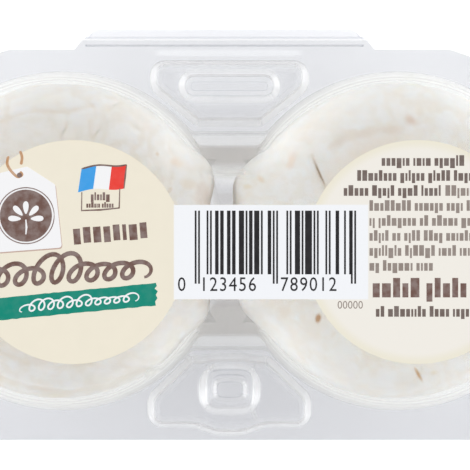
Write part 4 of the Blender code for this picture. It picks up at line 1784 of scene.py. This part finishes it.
@dataclass
class Label:
    """The paper label laid on the lid: two discs and the strip between them, and what is printed on it.

    The print is generic: fields of colour, a bar code that encodes nothing, plain numbers and rows of
    blocks where a label has words.
    """

    radius: float = 17.4 * MM
    spread: float = 26.75 * MM
    neck: float = 7.35 * MM
    fillet: float = 0.4 * MM
    shift: Pair = mm(2.5, -1.7)
    low: float = LID_TOP + 0.1 * MM
    thickness: float = 0.2 * MM
    ink: float = 0.02 * MM
    seed: int = 11
    paper: CoatedPaper = CoatedPaper()
    brown: Ink = Ink("brown_ink", linear(112, 84, 76), mottle=0.12)
    text_grey: Ink = Ink("grey_brown_ink", linear(146, 134, 127), mottle=0.05)
    dark_text: Ink = Ink("dark_brown_ink", linear(112, 98, 92), mottle=0.05)
    black: Ink = Ink("bar_ink", linear(34, 33, 36), mottle=0.01)
    green: Ink = Ink("green_ink", linear(0, 137, 118), mottle=0.02)
    white: Ink = Ink("white_ink", linear(246, 246, 248), mottle=0.0)
    blue: Ink = Ink("blue_ink", linear(62, 160, 232), mottle=0.02)
    red: Ink = Ink("red_ink", linear(236, 66, 56), mottle=0.02)
    twine: Ink = Ink("twine_ink", linear(190, 140, 92), mottle=0.2)

    def __post_init__(self) -> None:
        """Sets up the tree for the blocks and the list of pieces."""
        self.tree = block_tree()
        self.pieces: list[Object] = []
        self.materials: dict[str, Material] = {}

    @property
    def top(self) -> float:
        """The height of the paper's upper face."""
        return self.low + self.thickness

    def finish_of(self, ink: Ink) -> Material:
        """The material of an ink, made once.

        Args:
            ink: The ink.

        Returns:
            Its material.
        """
        if ink.name not in self.materials:
            self.materials[ink.name] = ink.make()
        return self.materials[ink.name]

    def slab(self, name: str, outlines: list[Outline], low: float, high: float,
             material: Material) -> Object:
        """Makes one piece of flat slabs.

        Args:
            name: The piece's name.
            outlines: The outline of each slab.
            low: The slabs' lower face.
            high: Their upper face.
            material: Their finish.

        Returns:
            The piece.
        """
        mesh = bmesh.new()
        for outline in outlines:
            bottom, top = ([mesh.verts.new((x, y, height)) for x, y in outline] for height in (low, high))
            mesh.faces.new(bottom)
            mesh.faces.new(top)
            join_loops(mesh, bottom, top)
        piece = place_piece(name, plain_mesh(mesh, name), material)
        self.pieces.append(piece)
        return piece

    def layer(self, name: str, outlines: list[Outline], ink: Ink, level: int = 1) -> None:
        """Prints flat shapes in one ink, on as many layers of ink as the level less one."""
        low, high = (self.top + self.ink * height for height in (level - 1, level))
        self.slab(name, outlines, low, high, self.finish_of(ink))

    def blocks(self, name: str, blocks: list[Block], ink: Ink, level: int = 1) -> None:
        """Makes one piece of printed blocks.

        Args:
            name: The piece's name.
            blocks: The blocks.
            ink: Their colour.
            level: How many layers of ink they lie on, plus one.
        """
        height = self.top + self.ink * (level - 0.5)
        mesh = bpy.data.meshes.new(name)
        mesh.from_pydata([(block.x, block.y, height) for block in blocks], [], [])
        size = mesh.attributes.new("size", "FLOAT_VECTOR", "POINT")
        size.data.foreach_set("vector", [v for block in blocks for v in (block.width, block.height, 0.0)])
        turn = mesh.attributes.new("turn", "FLOAT", "POINT")
        turn.data.foreach_set("value", [block.turn for block in blocks])
        shape = new_object(name, mesh)
        modifier = shape.modifiers.new("blocks", "NODES")
        modifier.node_group = self.tree
        set_input(modifier, "Thickness", self.ink)
        set_input(modifier, "Finish", self.finish_of(ink))
        self.pieces.append(place_piece(name, settled_mesh(shape, name)))

    def stroke(self, name: str, lines: list[Outline], width: float, ink: Ink,
               level: int = 1) -> None:
        """Makes one piece of flat pen strokes.

        Args:
            name: The piece's name.
            lines: The points of each stroke.
            width: The strokes' width.
            ink: Their colour.
            level: How many layers of ink they lie on, plus one.
        """
        low = self.top + self.ink * (level - 1)
        mesh = bmesh.new()
        for line in lines:
            self.one_stroke(mesh, line, width, low)
        self.pieces.append(place_piece(name, plain_mesh(mesh, name), self.finish_of(ink)))

    def one_stroke(self, mesh: BMesh, line: Outline, width: float, low: float) -> None:
        """Adds one closed ribbon along a line, narrower at its ends.

        Args:
            mesh: The mesh that it is added to.
            line: The line's points.
            width: The ribbon's width.
            low: The height of its lower face.
        """
        sections = []
        last = len(line) - 1
        for i, (x, y) in enumerate(line):
            lift = low + self.ink * 0.8 * i / last
            before, after = line[max(i - 1, 0)], line[min(i + 1, len(line) - 1)]
            run = Vector((after[0] - before[0], after[1] - before[1])).normalized()
            share = min(i, last - i) / last
            half = width / 2 * min(1.0, 0.55 + share * 9)
            across = Vector((-run.y, run.x)) * half
            corners = [(x + across.x, y + across.y), (x - across.x, y - across.y)]
            section = [mesh.verts.new((*corner, low)) for corner in corners]
            section += [mesh.verts.new((*corner, lift + self.ink)) for corner in reversed(corners)]
            sections.append(section)
        for first, second in zip(sections, sections[1:]):
            join_loops(mesh, first, second)
        mesh.faces.new(sections[0])
        mesh.faces.new(reversed(sections[-1]))

    def sheet(self) -> Object:
        """Makes the paper.

        Returns:
            The piece.
        """
        outline = PairShape(80, 4).outline(self.radius, self.neck, self.fillet, self.spread)
        outline = [(x + self.shift[0], y + self.shift[1]) for x, y in outline]
        return self.slab("paper_label", [outline], self.low, self.top, self.paper.make())

    def bar_code(self, left: float, right: float, top: float, low: float, guard_low: float) -> None:
        """Prints bars of seeded random widths, between longer pairs at the ends and the middle.

        Args:
            left: Where the bars start.
            right: Where they end.
            top: Their upper end.
            low: Their lower end.
            guard_low: The lower end of the longer pairs.
        """
        chance = random.Random(self.seed)
        modules = 95
        unit = (right - left) / modules
        guards = {0: 1, 2: 1, 46: 1, 48: 1, 92: 1, 94: 1}
        bars = [(start, wide, guard_low) for start, wide in guards.items()]
        for first in (*range(3, 45, 7), *range(50, 92, 7)):
            cuts = sorted(chance.sample(range(1, 7), 3))
            bars.append((first + cuts[0], cuts[1] - cuts[0], low))
            bars.append((first + cuts[2], 7 - cuts[2], low))
        blocks = []
        for start, wide, end in bars:
            x = left + (start + wide / 2) * unit
            blocks.append(Block(x, (top + end) / 2, (wide + 0.08) * unit, top - end))
        self.blocks("label_bars", blocks, self.black)

    def numbers(self, name: str, text: str, x: float, y: float, size: float, ink: Ink,
                stretch: float = 1.0, spacing: float = 1.0) -> None:
        """Prints plain numbers.

        Args:
            name: The piece's name.
            text: The digits.
            x: Where they start.
            y: Their foot.
            size: Their height as type.
            ink: Their colour.
            stretch: How much wider than usual they are.
            spacing: How far apart they are set.
        """
        curve = bpy.data.curves.new(name, "FONT")
        curve.body = text
        curve.size = size
        curve.space_character = spacing
        curve.extrude = self.ink / 2
        curve.resolution_u = 3
        shape = new_object(name, curve)
        mesh = settled_mesh(shape, name)
        height = self.top + self.ink / 2
        for corner in mesh.vertices:
            corner.co = Vector((x + corner.co.x * stretch, y + corner.co.y, height + corner.co.z))
        self.pieces.append(place_piece(name, mesh, self.finish_of(ink)))

    def text_rows(self, chance: random.Random, rows: list[tuple[float, float, float, float]]) -> list[Block]:
        """Blocks in rows, in groups like words.

        Args:
            chance: Where the random widths come from.
            rows: The left end, right end, foot and height of each row.

        Returns:
            The blocks.
        """
        blocks = []
        for left, right, foot, height in rows:
            x = left
            while x < right:
                for _ in range(chance.choice((2, 4, 5, 6, 8))):
                    wide = height * chance.choice((0.26, 0.42, 0.46, 0.5, 0.62))
                    tall = height * chance.choice((1.0, 1.0, 1.0, 1.38))
                    drop = height * chance.choice((0.0, 0.0, 0.0, 0.0, 0.3)) if tall == height else 0.0
                    if x + wide > right:
                        break
                    blocks.append(Block(x + wide / 2, foot + (tall - drop) / 2, wide, tall + drop))
                    x += wide + height * 0.16
                x += height * 0.34
                if x + height * 0.5 > right:
                    break
        return blocks

    def inside(self, blocks: list[Block], margin: float = 0.6 * MM) -> list[Block]:
        """Keeps the blocks that lie on the right disc.

        Args:
            blocks: The blocks.
            margin: How far inside the disc's edge they stay.

        Returns:
            The blocks that are kept.
        """
        centre_x = self.spread + self.shift[0]
        kept = []
        for block in blocks:
            corner_x = abs(block.x - centre_x) + block.width / 2
            corner_y = abs(block.y - self.shift[1]) + block.height / 2
            if block.x < centre_x or hypot(corner_x, corner_y) < self.radius - margin:
                kept.append(block)
        return kept

    def right_disc(self) -> None:
        """Prints the rows of blocks on the right disc, one bold row among them."""
        chance = random.Random(self.seed + 1)
        small = 1.2 * MM
        pitch = 2.33 * MM
        top_foot = 11.7 * MM
        bold = [(23.7 * MM, 36.7 * MM, top_foot, small), (19.9 * MM, 40.0 * MM, top_foot - pitch, small),
                (17.8 * MM, 33.0 * MM, top_foot - 2 * pitch, small),
                (22.8 * MM, 40.0 * MM, -11.75 * MM, small)]
        plain = [(33.6 * MM, 42.0 * MM, top_foot - 2 * pitch, small)]
        plain += [(21.8 * MM, 44.5 * MM, top_foot - row * pitch, small) for row in (3, 4, 5, 6)]
        plain += [(21.8 * MM, 32.0 * MM, top_foot - 7 * pitch, small)]
        self.blocks("label_bold_rows", self.inside(self.text_rows(chance, bold)), self.dark_text)
        self.blocks("label_rows", self.inside(self.text_rows(chance, plain)), self.text_grey)
        big = [mm(22.3, 42.5, -8.75, 2.2)]
        self.blocks("label_big_row", self.inside(self.text_rows(chance, big)), self.brown)

    def flag(self) -> None:
        """Prints the three stripes of colour, their outline and the empty box below them."""
        corners = [mm(-22.95, 11.35), mm(-15.95, 12.0), mm(-16.35, 8.3), mm(-23.5, 7.7)]

        def edge(share: float, row: int) -> Pair:
            """A point along the flag's top or bottom edge, with its slow wave.

            Args:
                share: How far along the edge it is.
                row: 0 for the top edge.

            Returns:
                The point.
            """
            start, end = (corners[0], corners[1]) if row == 0 else (corners[3], corners[2])
            wave = 0.22 * MM * sin(2 * pi * share - 0.6)
            return start[0] + (end[0] - start[0]) * share, start[1] + (end[1] - start[1]) * share + wave

        def stripe(first: float, last: float) -> Outline:
            """One stripe between two shares of the flag's length.

            Args:
                first: Where it starts.
                last: Where it ends.

            Returns:
                The stripe's outline.
            """
            steps = 6
            shares = [first + (last - first) * i / steps for i in range(steps + 1)]
            return [edge(share, 0) for share in shares] + [edge(share, 1) for share in reversed(shares)]

        for name, first, last, ink in (("blue", 0.0, 0.33, self.blue), ("white", 0.33, 0.67, self.white),
                                       ("red", 0.67, 1.0, self.red)):
            self.layer(f"label_stripe_{name}", [stripe(first, last)], ink)
        shares = [i / 16 for i in range(17)]
        around = [edge(share, 0) for share in shares]
        middle = tuple((upper + lower) / 2 for upper, lower in zip(corners[1], corners[2]))
        side = [edge(1.0, 0), middle, edge(1.0, 1)]
        left = [mm(-22.9, 7.6), mm(-22.95, 4.75), mm(-20.0, 4.85), mm(-17.1, 5.15), mm(-17.0, 8.2)]
        self.stroke("label_box_lines", [around, side, left], 0.26 * MM, self.brown, 2)
        rows = [mm(-21.5, -18.4, 6.35, 0.9), mm(-22.2, -17.7, 5.2, 0.62)]
        self.blocks("label_box_rows", self.text_rows(random.Random(5), rows), self.brown, 2)

    def tag(self) -> None:
        """Prints the white tag on its twine, with a plain round mark and a sprig of leaves."""
        corners = [mm(-26.0, -1.0), mm(-27.05, 8.8), mm(-31.4, 11.6), mm(-35.6, 10.6), mm(-39.2, 7.0),
                   mm(-39.2, -2.0)]
        outline = rounded(corners, [0.5 * MM] * len(corners), 0.0, 4)
        centre = mm(-31.6, 3.95)
        shade = [self.keep_on_disc(x + 0.12 * MM, y - 0.2 * MM) for x, y in outline]
        face = [self.keep_on_disc(x, y) for x, y in outline]
        self.layer("label_tag_edge", [shade], Ink("tag_edge_ink", linear(196, 170, 158)))
        self.layer("label_tag", [face], self.white, 2)
        disc = squared_ring(centre, 4.05 * MM, 4.05 * MM, 2.0, 72)
        self.layer("label_round_mark", [disc], self.brown, 3)
        ring = squared_ring(centre, 4.4 * MM, 4.35 * MM, 2.0, 73)
        self.stroke("label_mark_ring", [[*ring, ring[0]]], 0.16 * MM, self.brown, 3)
        leaves = []
        for i in range(5):
            angle = radians(90 + (i - 2) * 44)
            reach = 1.75 * MM
            spot = (centre[0] + reach * cos(angle), centre[1] - 0.5 * MM + reach * sin(angle))
            leaf = []
            for j in range(24):
                turn = 2 * pi * j / 24
                along, across = 1.0 * MM * cos(turn), 0.42 * MM * sin(turn) * (1 + 0.35 * cos(turn))
                leaf.append((spot[0] + along * cos(angle) - across * sin(angle),
                             spot[1] + along * sin(angle) + across * cos(angle)))
            leaves.append(leaf)
        self.layer("label_sprig", leaves, self.white, 4)
        stem = [(centre[0], centre[1] - 2.9 * MM), (centre[0] + 0.1 * MM, centre[1] - 1.8 * MM),
                (centre[0], centre[1] - 0.6 * MM)]
        self.stroke("label_sprig_stem", [stem], 0.3 * MM, self.white, 4)
        hole = mm(-32.6, 10.25)
        loop = [mm(-34.3, 13.2), mm(-34.5, 12.0), mm(-33.9, 10.9), mm(-32.9, 10.0), mm(-32.2, 10.3),
                mm(-32.5, 10.8)]
        short = [mm(-32.5, 14.0), mm(-32.2, 13.0), mm(-32.35, 11.9)]
        self.stroke("label_twine", [self.smooth(loop), self.smooth(short)], 0.42 * MM, self.twine, 3)
        self.layer("label_tag_hole", [squared_ring(hole, 0.4 * MM, 0.4 * MM, 2.0, 20)], self.brown, 4)

    def keep_on_disc(self, x: float, y: float, margin: float = 0.35 * MM) -> Pair:
        """Moves a point in to the left disc's edge if it lies outside it.

        Args:
            x: Its place along the row.
            y: Its place across the row.
            margin: How far inside the edge it stays.

        Returns:
            The place that it ends up at.
        """
        centre = (self.shift[0] - self.spread, self.shift[1])
        reach = hypot(x - centre[0], y - centre[1])
        share = min(1.0, (self.radius - margin) / reach)
        return centre[0] + (x - centre[0]) * share, centre[1] + (y - centre[1]) * share

    @staticmethod
    def smooth(line: Outline, steps: int = 6) -> Outline:
        """A finer line that passes through the same points.

        Args:
            line: The points to pass through.
            steps: How many steps there are between two of them.

        Returns:
            The finer line.
        """
        ends = [line[0], *line, line[-1]]
        fine = []
        for i in range(1, len(ends) - 2):
            before, start, end, after = ends[i - 1:i + 3]
            for j in range(steps):
                t = j / steps
                weights = (-t + 2 * t * t - t ** 3, 2 - 5 * t * t + 3 * t ** 3, t + 4 * t * t - 3 * t ** 3,
                           t ** 3 - t * t)
                spots = (before, start, end, after)
                fine.append(tuple(sum(w * s[axis] for w, s in zip(weights, spots)) / 2 for axis in (0, 1)))
        return [*fine, line[-1]]

    def flourish(self, start: Pair, end: Pair, loops: int, size: float, seed: int) -> Outline:
        """A pen flourish: a line of uneven loops that leans to the right and spells nothing.

        Args:
            start: Where it starts.
            end: Where it ends.
            loops: How many loops it has.
            size: The loops' height.
            seed: What makes the loops uneven.

        Returns:
            The line's points.
        """
        chance = random.Random(seed)
        sizes = [size * chance.choice((0.55, 0.6, 0.75, 1.0)) for _ in range(loops + 1)]
        run = Vector((end[0] - start[0], end[1] - start[1]))
        step = run.length / loops
        along = run.normalized()
        up = Vector((-along.y, along.x))
        steps = 26
        line = []
        for i in range(loops * steps + 1):
            turn = i / steps
            tall = sizes[int(turn)]
            lift = (1 - cos(2 * pi * turn)) / 2 * tall
            forward = turn * step - 0.42 * step * sin(2 * pi * turn) * 1.25 + 0.3 * lift
            spot = Vector(start) + along * forward + up * lift
            line.append((spot.x, spot.y))
        return line

    def left_disc(self) -> None:
        """Prints the title's blocks, the flourish, the green band and the tag on the left disc."""
        lean = radians(4.6)
        widths = (0.62, 0.66, 0.68, 0.6, 0.6, 0.34, 0.72, 0.62)
        x, y = -24.2 * MM, -0.45 * MM
        blocks = []
        height = 2.45 * MM
        for i, wide in enumerate(widths):
            width = wide * 1.75 * MM
            middle = y + height / 2 + 0.08 * MM * ((i * 5) % 3 - 1)
            blocks.append(Block(x + width / 2, middle, width, height, lean))
            x += width + 0.42 * MM
            y += (width + 0.42 * MM) * sin(lean)
        self.blocks("label_title_blocks", blocks, self.brown)
        line = self.flourish(mm(-38.2, -7.1), mm(-13.2, -5.6), 9, 4.4 * MM, 4)
        line = [self.keep_on_disc(*spot, margin=0.8 * MM) for spot in line]
        self.stroke("label_flourish", [line], 0.72 * MM, self.brown, 2)
        self.band()
        self.flag()
        self.tag()

    def band(self) -> None:
        """Prints the green brushed band with its ragged end and the light flourish in it."""
        chance = random.Random(8)
        upper, lower = [], []
        steps = 40
        for i in range(steps + 1):
            share = i / steps
            x = -40.2 * MM + 28.8 * MM * share
            rise = 2.75 * MM * share
            upper.append((x, -9.25 * MM + rise + chance.uniform(-0.05, 0.05) * MM))
            lower.append((x, -12.75 * MM + rise + chance.uniform(-0.06, 0.06) * MM))
        ragged = ((-0.1, 2.9), (0.25, 2.4), (0.0, 1.9), (0.3, 1.3), (-0.2, 0.9), (0.15, 0.5))
        end = [(upper[-1][0] + reach * MM, upper[-1][1] - drop * MM) for reach, drop in ragged]
        least = 0.02 * MM
        shape = [self.keep_on_disc(*spot, margin=least) for spot in [*lower, *end, *reversed(upper)]]
        thin = [shape[0]]
        for spot in shape[1:]:
            if hypot(spot[0] - thin[-1][0], spot[1] - thin[-1][1]) > least:
                thin.append(spot)
        self.layer("label_green_band", [thin], self.green)
        line = self.flourish(mm(-32.2, -11.0), mm(-14.6, -9.3), 12, 1.7 * MM, 21)
        self.stroke("label_band_flourish", [line], 0.26 * MM, self.white, 2)

    def build(self) -> Object:
        """Builds the paper and everything printed on it.

        Returns:
            The paper.
        """
        paper = self.sheet()
        self.bar_code(*mm(-5.35, 19.71, 4.74, -5.16, -6.62))
        self.numbers("label_first_number", "0", *mm(-8.05, -7.75, 3.1), self.black, 0.86)
        self.numbers("label_left_numbers", "123456", *mm(-4.6, -7.75, 3.1), self.black, 0.86, 1.13)
        self.numbers("label_right_numbers", "789012", *mm(7.9, -7.75, 3.1), self.black, 0.86, 1.13)
        self.numbers("label_small_number", "00000", *mm(16.8, -10.5, 1.75), self.text_grey, 0.92)
        self.left_disc()
        self.right_disc()
        return paper


@dataclass
class Studio:
    """The pale floor, the soft lights and the camera."""

    camera_x: float = 0.9 * MM
    camera_y: float = 0.95 * MM
    camera_rise: float = 0.32
    lens: float = 157.55
    floor_colour: Colour = (0.55, 0.55, 0.555, 1.0)
    floor_glow: float = 0.62
    world_strength: float = 0.49
    floor_half: float = 3.0
    light_spot: Triple = (0.8, 0.05, 0.32)
    light_aim: Triple = (0.0, 0.0, 0.02)
    light_size: Pair = (1.4, 0.6)
    light_power: float = 7.9

    def floor(self) -> None:
        """Makes the floor."""
        mesh = bpy.data.meshes.new("floor")
        half = self.floor_half
        mesh.from_pydata([(-half, -half, 0.0), (half, -half, 0.0), (half, half, 0.0), (-half, half, 0.0)], [],
                         [(0, 1, 2, 3)])
        floor = new_object("floor", mesh)
        material, graph = new_material("pale_floor")
        shader = graph.add("ShaderNodeBsdfPrincipled", {
            "Base Color": self.floor_colour, "Roughness": 0.9, "Emission Color": (1.0, 1.0, 1.0, 1.0),
            "Emission Strength": self.floor_glow})
        graph.add("ShaderNodeOutputMaterial", {"Surface": shader.outputs[0]})
        mesh.materials.append(material)

    def light(self, name: str, place: Triple) -> None:
        """Adds a soft light that points at the pack.

        Args:
            name: The light's name.
            place: Where it is.
        """
        data = bpy.data.lights.new(name, "AREA")
        data.shape = "RECTANGLE"
        data.size, data.size_y = self.light_size
        data.energy = self.light_power
        light = new_object(name, data)
        light.location = place
        light.rotation_mode = "QUATERNION"
        light.rotation_quaternion = (Vector(self.light_aim) - Vector(place)).to_track_quat("-Z", "Y")

    def camera(self) -> None:
        """Adds the camera straight above the pack."""
        data = bpy.data.cameras.new("camera")
        data.lens = self.lens
        data.sensor_width = 36.0
        data.clip_start = 0.01
        data.clip_end = 20.0
        camera = new_object("camera", data)
        camera.location = (self.camera_x, self.camera_y + ROW_Y, LID_TOP + self.camera_rise)
        bpy.context.scene.camera = camera

    def build(self) -> None:
        """Builds the studio."""
        self.floor()
        scene = bpy.context.scene
        scene.view_settings.view_transform = "Standard"
        scene.cycles.transparent_max_bounces = 32
        world = bpy.data.worlds.new("soft_room")
        world.use_nodes = True
        around = world.node_tree.nodes["Background"].inputs
        around["Color"].default_value = (1.0, 1.0, 1.0, 1.0)
        around["Strength"].default_value = self.world_strength
        scene.world = world
        x, y, z = self.light_spot
        self.light("left_panel", (-x, y, z))
        self.light("right_panel", (x, y, z))
        self.camera()


def stain(x: float, y: float, half_x: float, half_y: float, turn: float,
          tone: Triple, strength: float) -> Stain:
    """A stain from sizes in millimetres, a turn in degrees and a colour as a screen shows it."""
    return Stain(*mm(x, y, half_x, half_y), radians(turn), linear(*tone), strength)


def left_cheese() -> Cheese:
    """The left cheese, with its swells, its marks, its faint stains and painted shade on its side that faces
    the other cheese.

    Returns:
        The cheese.
    """
    beige = (228, 214, 196)
    grey = (219, 217, 207)
    stains = (
        stain(-17.9, 21.4, 1.0, 0.25, 32, grey, 0.8),
        stain(-20.6, 17.0, 1.1, 0.22, 52, grey, 0.9),
        stain(-25.8, 17.2, 0.9, 0.22, 58, grey, 0.8),
        stain(-11.2, 13.6, 0.35, 0.45, 0, beige, 0.9),
        stain(-8.2, 12.3, 1.4, 0.9, -35, (240, 221, 200), 0.6),
        stain(-6.4, 9.0, 1.7, 1.1, -25, (235, 223, 207), 0.7),
        stain(-9.2, 8.0, 0.7, 0.4, 60, beige, 0.6),
        stain(-28.5, 22.2, 4.2, 1.4, 8, (240, 237, 228), 0.7),
        stain(-20.0, -22.0, 6.0, 1.6, -8, (236, 231, 219), 0.6),
        stain(-9.0, -15.5, 1.1, 2.6, -20, (233, 228, 213), 0.7),
        # The next two stains are painted shade on the side that faces the other cheese.
        stain(-3.6, 6.6, 2.0, 3.4, 8, (222, 206, 193), 0.75),
        stain(-3.8, -8.0, 1.7, 4.2, -8, (226, 214, 202), 0.7),
        stain(-29.0, -18.6, 3.0, 0.7, -6, (236, 226, 218), 0.7),
        stain(-27.4, -24.4, 2.6, 0.5, -4, (234, 226, 205), 0.7),
        stain(-17.5, -19.6, 1.8, 1.2, 20, (233, 226, 218), 0.6),
        stain(-31.0, 19.0, 3.2, 0.8, 5, (234, 230, 220), 0.6),
        stain(-13.6, 19.4, 2.4, 0.8, -40, (235, 230, 221), 0.6),
    )
    grooves = (
        Groove((mm(-18.8, 20.8), mm(-17.0, 22.0)), 0.5 * MM, 0.2 * MM),
        Groove((mm(-21.3, 16.0), mm(-20.0, 17.9)), 0.5 * MM, 0.22 * MM),
        Groove((mm(-26.3, 16.2), mm(-25.3, 18.0)), 0.5 * MM, 0.18 * MM),
        Groove((mm(-36.0, -17.2), mm(-32.1, -18.9), mm(-26.6, -19.7), mm(-21.1, -18.9)), 0.5 * MM, 0.24 * MM),
        Groove((mm(-36.0, -21.7), mm(-29.7, -23.5), mm(-25.0, -24.1), mm(-18.7, -23.0), mm(-12.8, -20.3)),
               0.8 * MM, 0.28 * MM),
        Groove((mm(-36.5, 18.6), mm(-31.5, 20.4), mm(-25.5, 20.2), mm(-21.5, 21.4)), 0.7 * MM, 0.24 * MM),
    )
    swells = ((0.0, 26.0, -1.6 * MM), (26.0, 15.0, 1.6 * MM), (-28.0, 13.0, 1.1 * MM))
    rind = BloomyRind("left_rind", stains, bloom=linear(240, 238, 235), mottle_and_crease_shade=linear(234, 226, 214))
    return Cheese(Side.LEFT, 3.7, swells, rind, grooves)


def right_cheese() -> Cheese:
    """The right cheese, with its crack, the fold round its top and its small brown spots.

    Returns:
        The cheese.
    """
    tan_spot = (196, 152, 104)
    pink = (241, 231, 221)
    stains = (
        stain(22.0, 14.0, 8.5, 3.2, 26, pink, 0.75),
        stain(15.5, 9.5, 3.2, 3.0, 40, (240, 232, 223), 0.75),
        stain(17.4, 15.4, 2.2, 0.9, 38, (233, 222, 210), 0.7),
        stain(21.0, 16.6, 2.6, 0.8, 14, (234, 224, 213), 0.65),
        stain(25.2, 17.3, 2.4, 1.0, 3, (234, 223, 211), 0.7),
        stain(28.3, 18.8, 1.5, 1.0, -15, (226, 204, 187), 0.75),
        stain(14.1, 10.6, 2.4, 0.28, -66, (176, 150, 116), 0.95),
        stain(9.8, 12.6, 0.9, 1.6, -20, (238, 212, 188), 0.6),
        stain(5.0, 9.6, 1.0, 0.6, -40, (234, 213, 184), 0.6),
        stain(2.8, 8.6, 0.9, 0.5, 0, (234, 222, 196), 0.6),
        stain(29.3, 25.3, 1.6, 1.0, 10, (236, 240, 210), 0.6),
        stain(13.9, -12.1, 0.55, 0.95, -18, tan_spot, 1.0),
        stain(29.6, -20.9, 0.35, 1.5, 30, (206, 164, 112), 0.95),
        stain(32.0, -20.6, 0.9, 0.5, 0, (234, 222, 200), 0.6),
        stain(8.5, -11.0, 1.6, 1.2, 40, (236, 224, 208), 0.6),
    )
    grooves = (
        Groove((mm(13.0, 13.2), mm(13.9, 10.6), mm(15.4, 7.6)), 0.55 * MM, 0.4 * MM),
        Groove((mm(15.7, 14.6), mm(17.6, 16.2), mm(22.0, 17.3), mm(26.5, 17.6)), 1.1 * MM, 0.28 * MM),
        Groove((mm(29.1, -22.3), mm(30.2, -19.5)), 0.45 * MM, 0.25 * MM),
    )
    swells = ((0.0, 20.0, 0.8 * MM), (21.5, 17.0, 2.4 * MM), (-21.0, 20.0, 1.8 * MM))
    rind = BloomyRind("right_rind", stains, bloom=linear(245, 244, 241), mottle_and_crease_shade=linear(240, 232, 220))
    return Cheese(Side.RIGHT, 8.2, swells, rind, grooves)


def main() -> None:
    """Builds each piece, says which body it rides on and which node it stands for."""
    logging.basicConfig(level=logging.INFO, format="%(name)s: %(message)s")
    tray = Tray()
    for piece in (tray.build(), tray.bead()):
        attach(piece, "tray")
        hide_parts("tray")
    lid = Lid().build()
    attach(lid, "lid")
    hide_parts("lid")
    relief = relief_tree()
    for cheese, node in ((left_cheese(), "cheese_left"), (right_cheese(), "cheese_right")):
        piece = cheese.build(relief)
        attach(piece, "tray")
        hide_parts(node)
    label = Label()
    paper = label.build()
    for piece in label.pieces:
        piece.visible_shadow = False
        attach(piece, "lid")
    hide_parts("label")
    Studio().build()
    log.info("pack built with %d printed pieces", len(label.pieces))


if __name__ == "__main__":
    main()
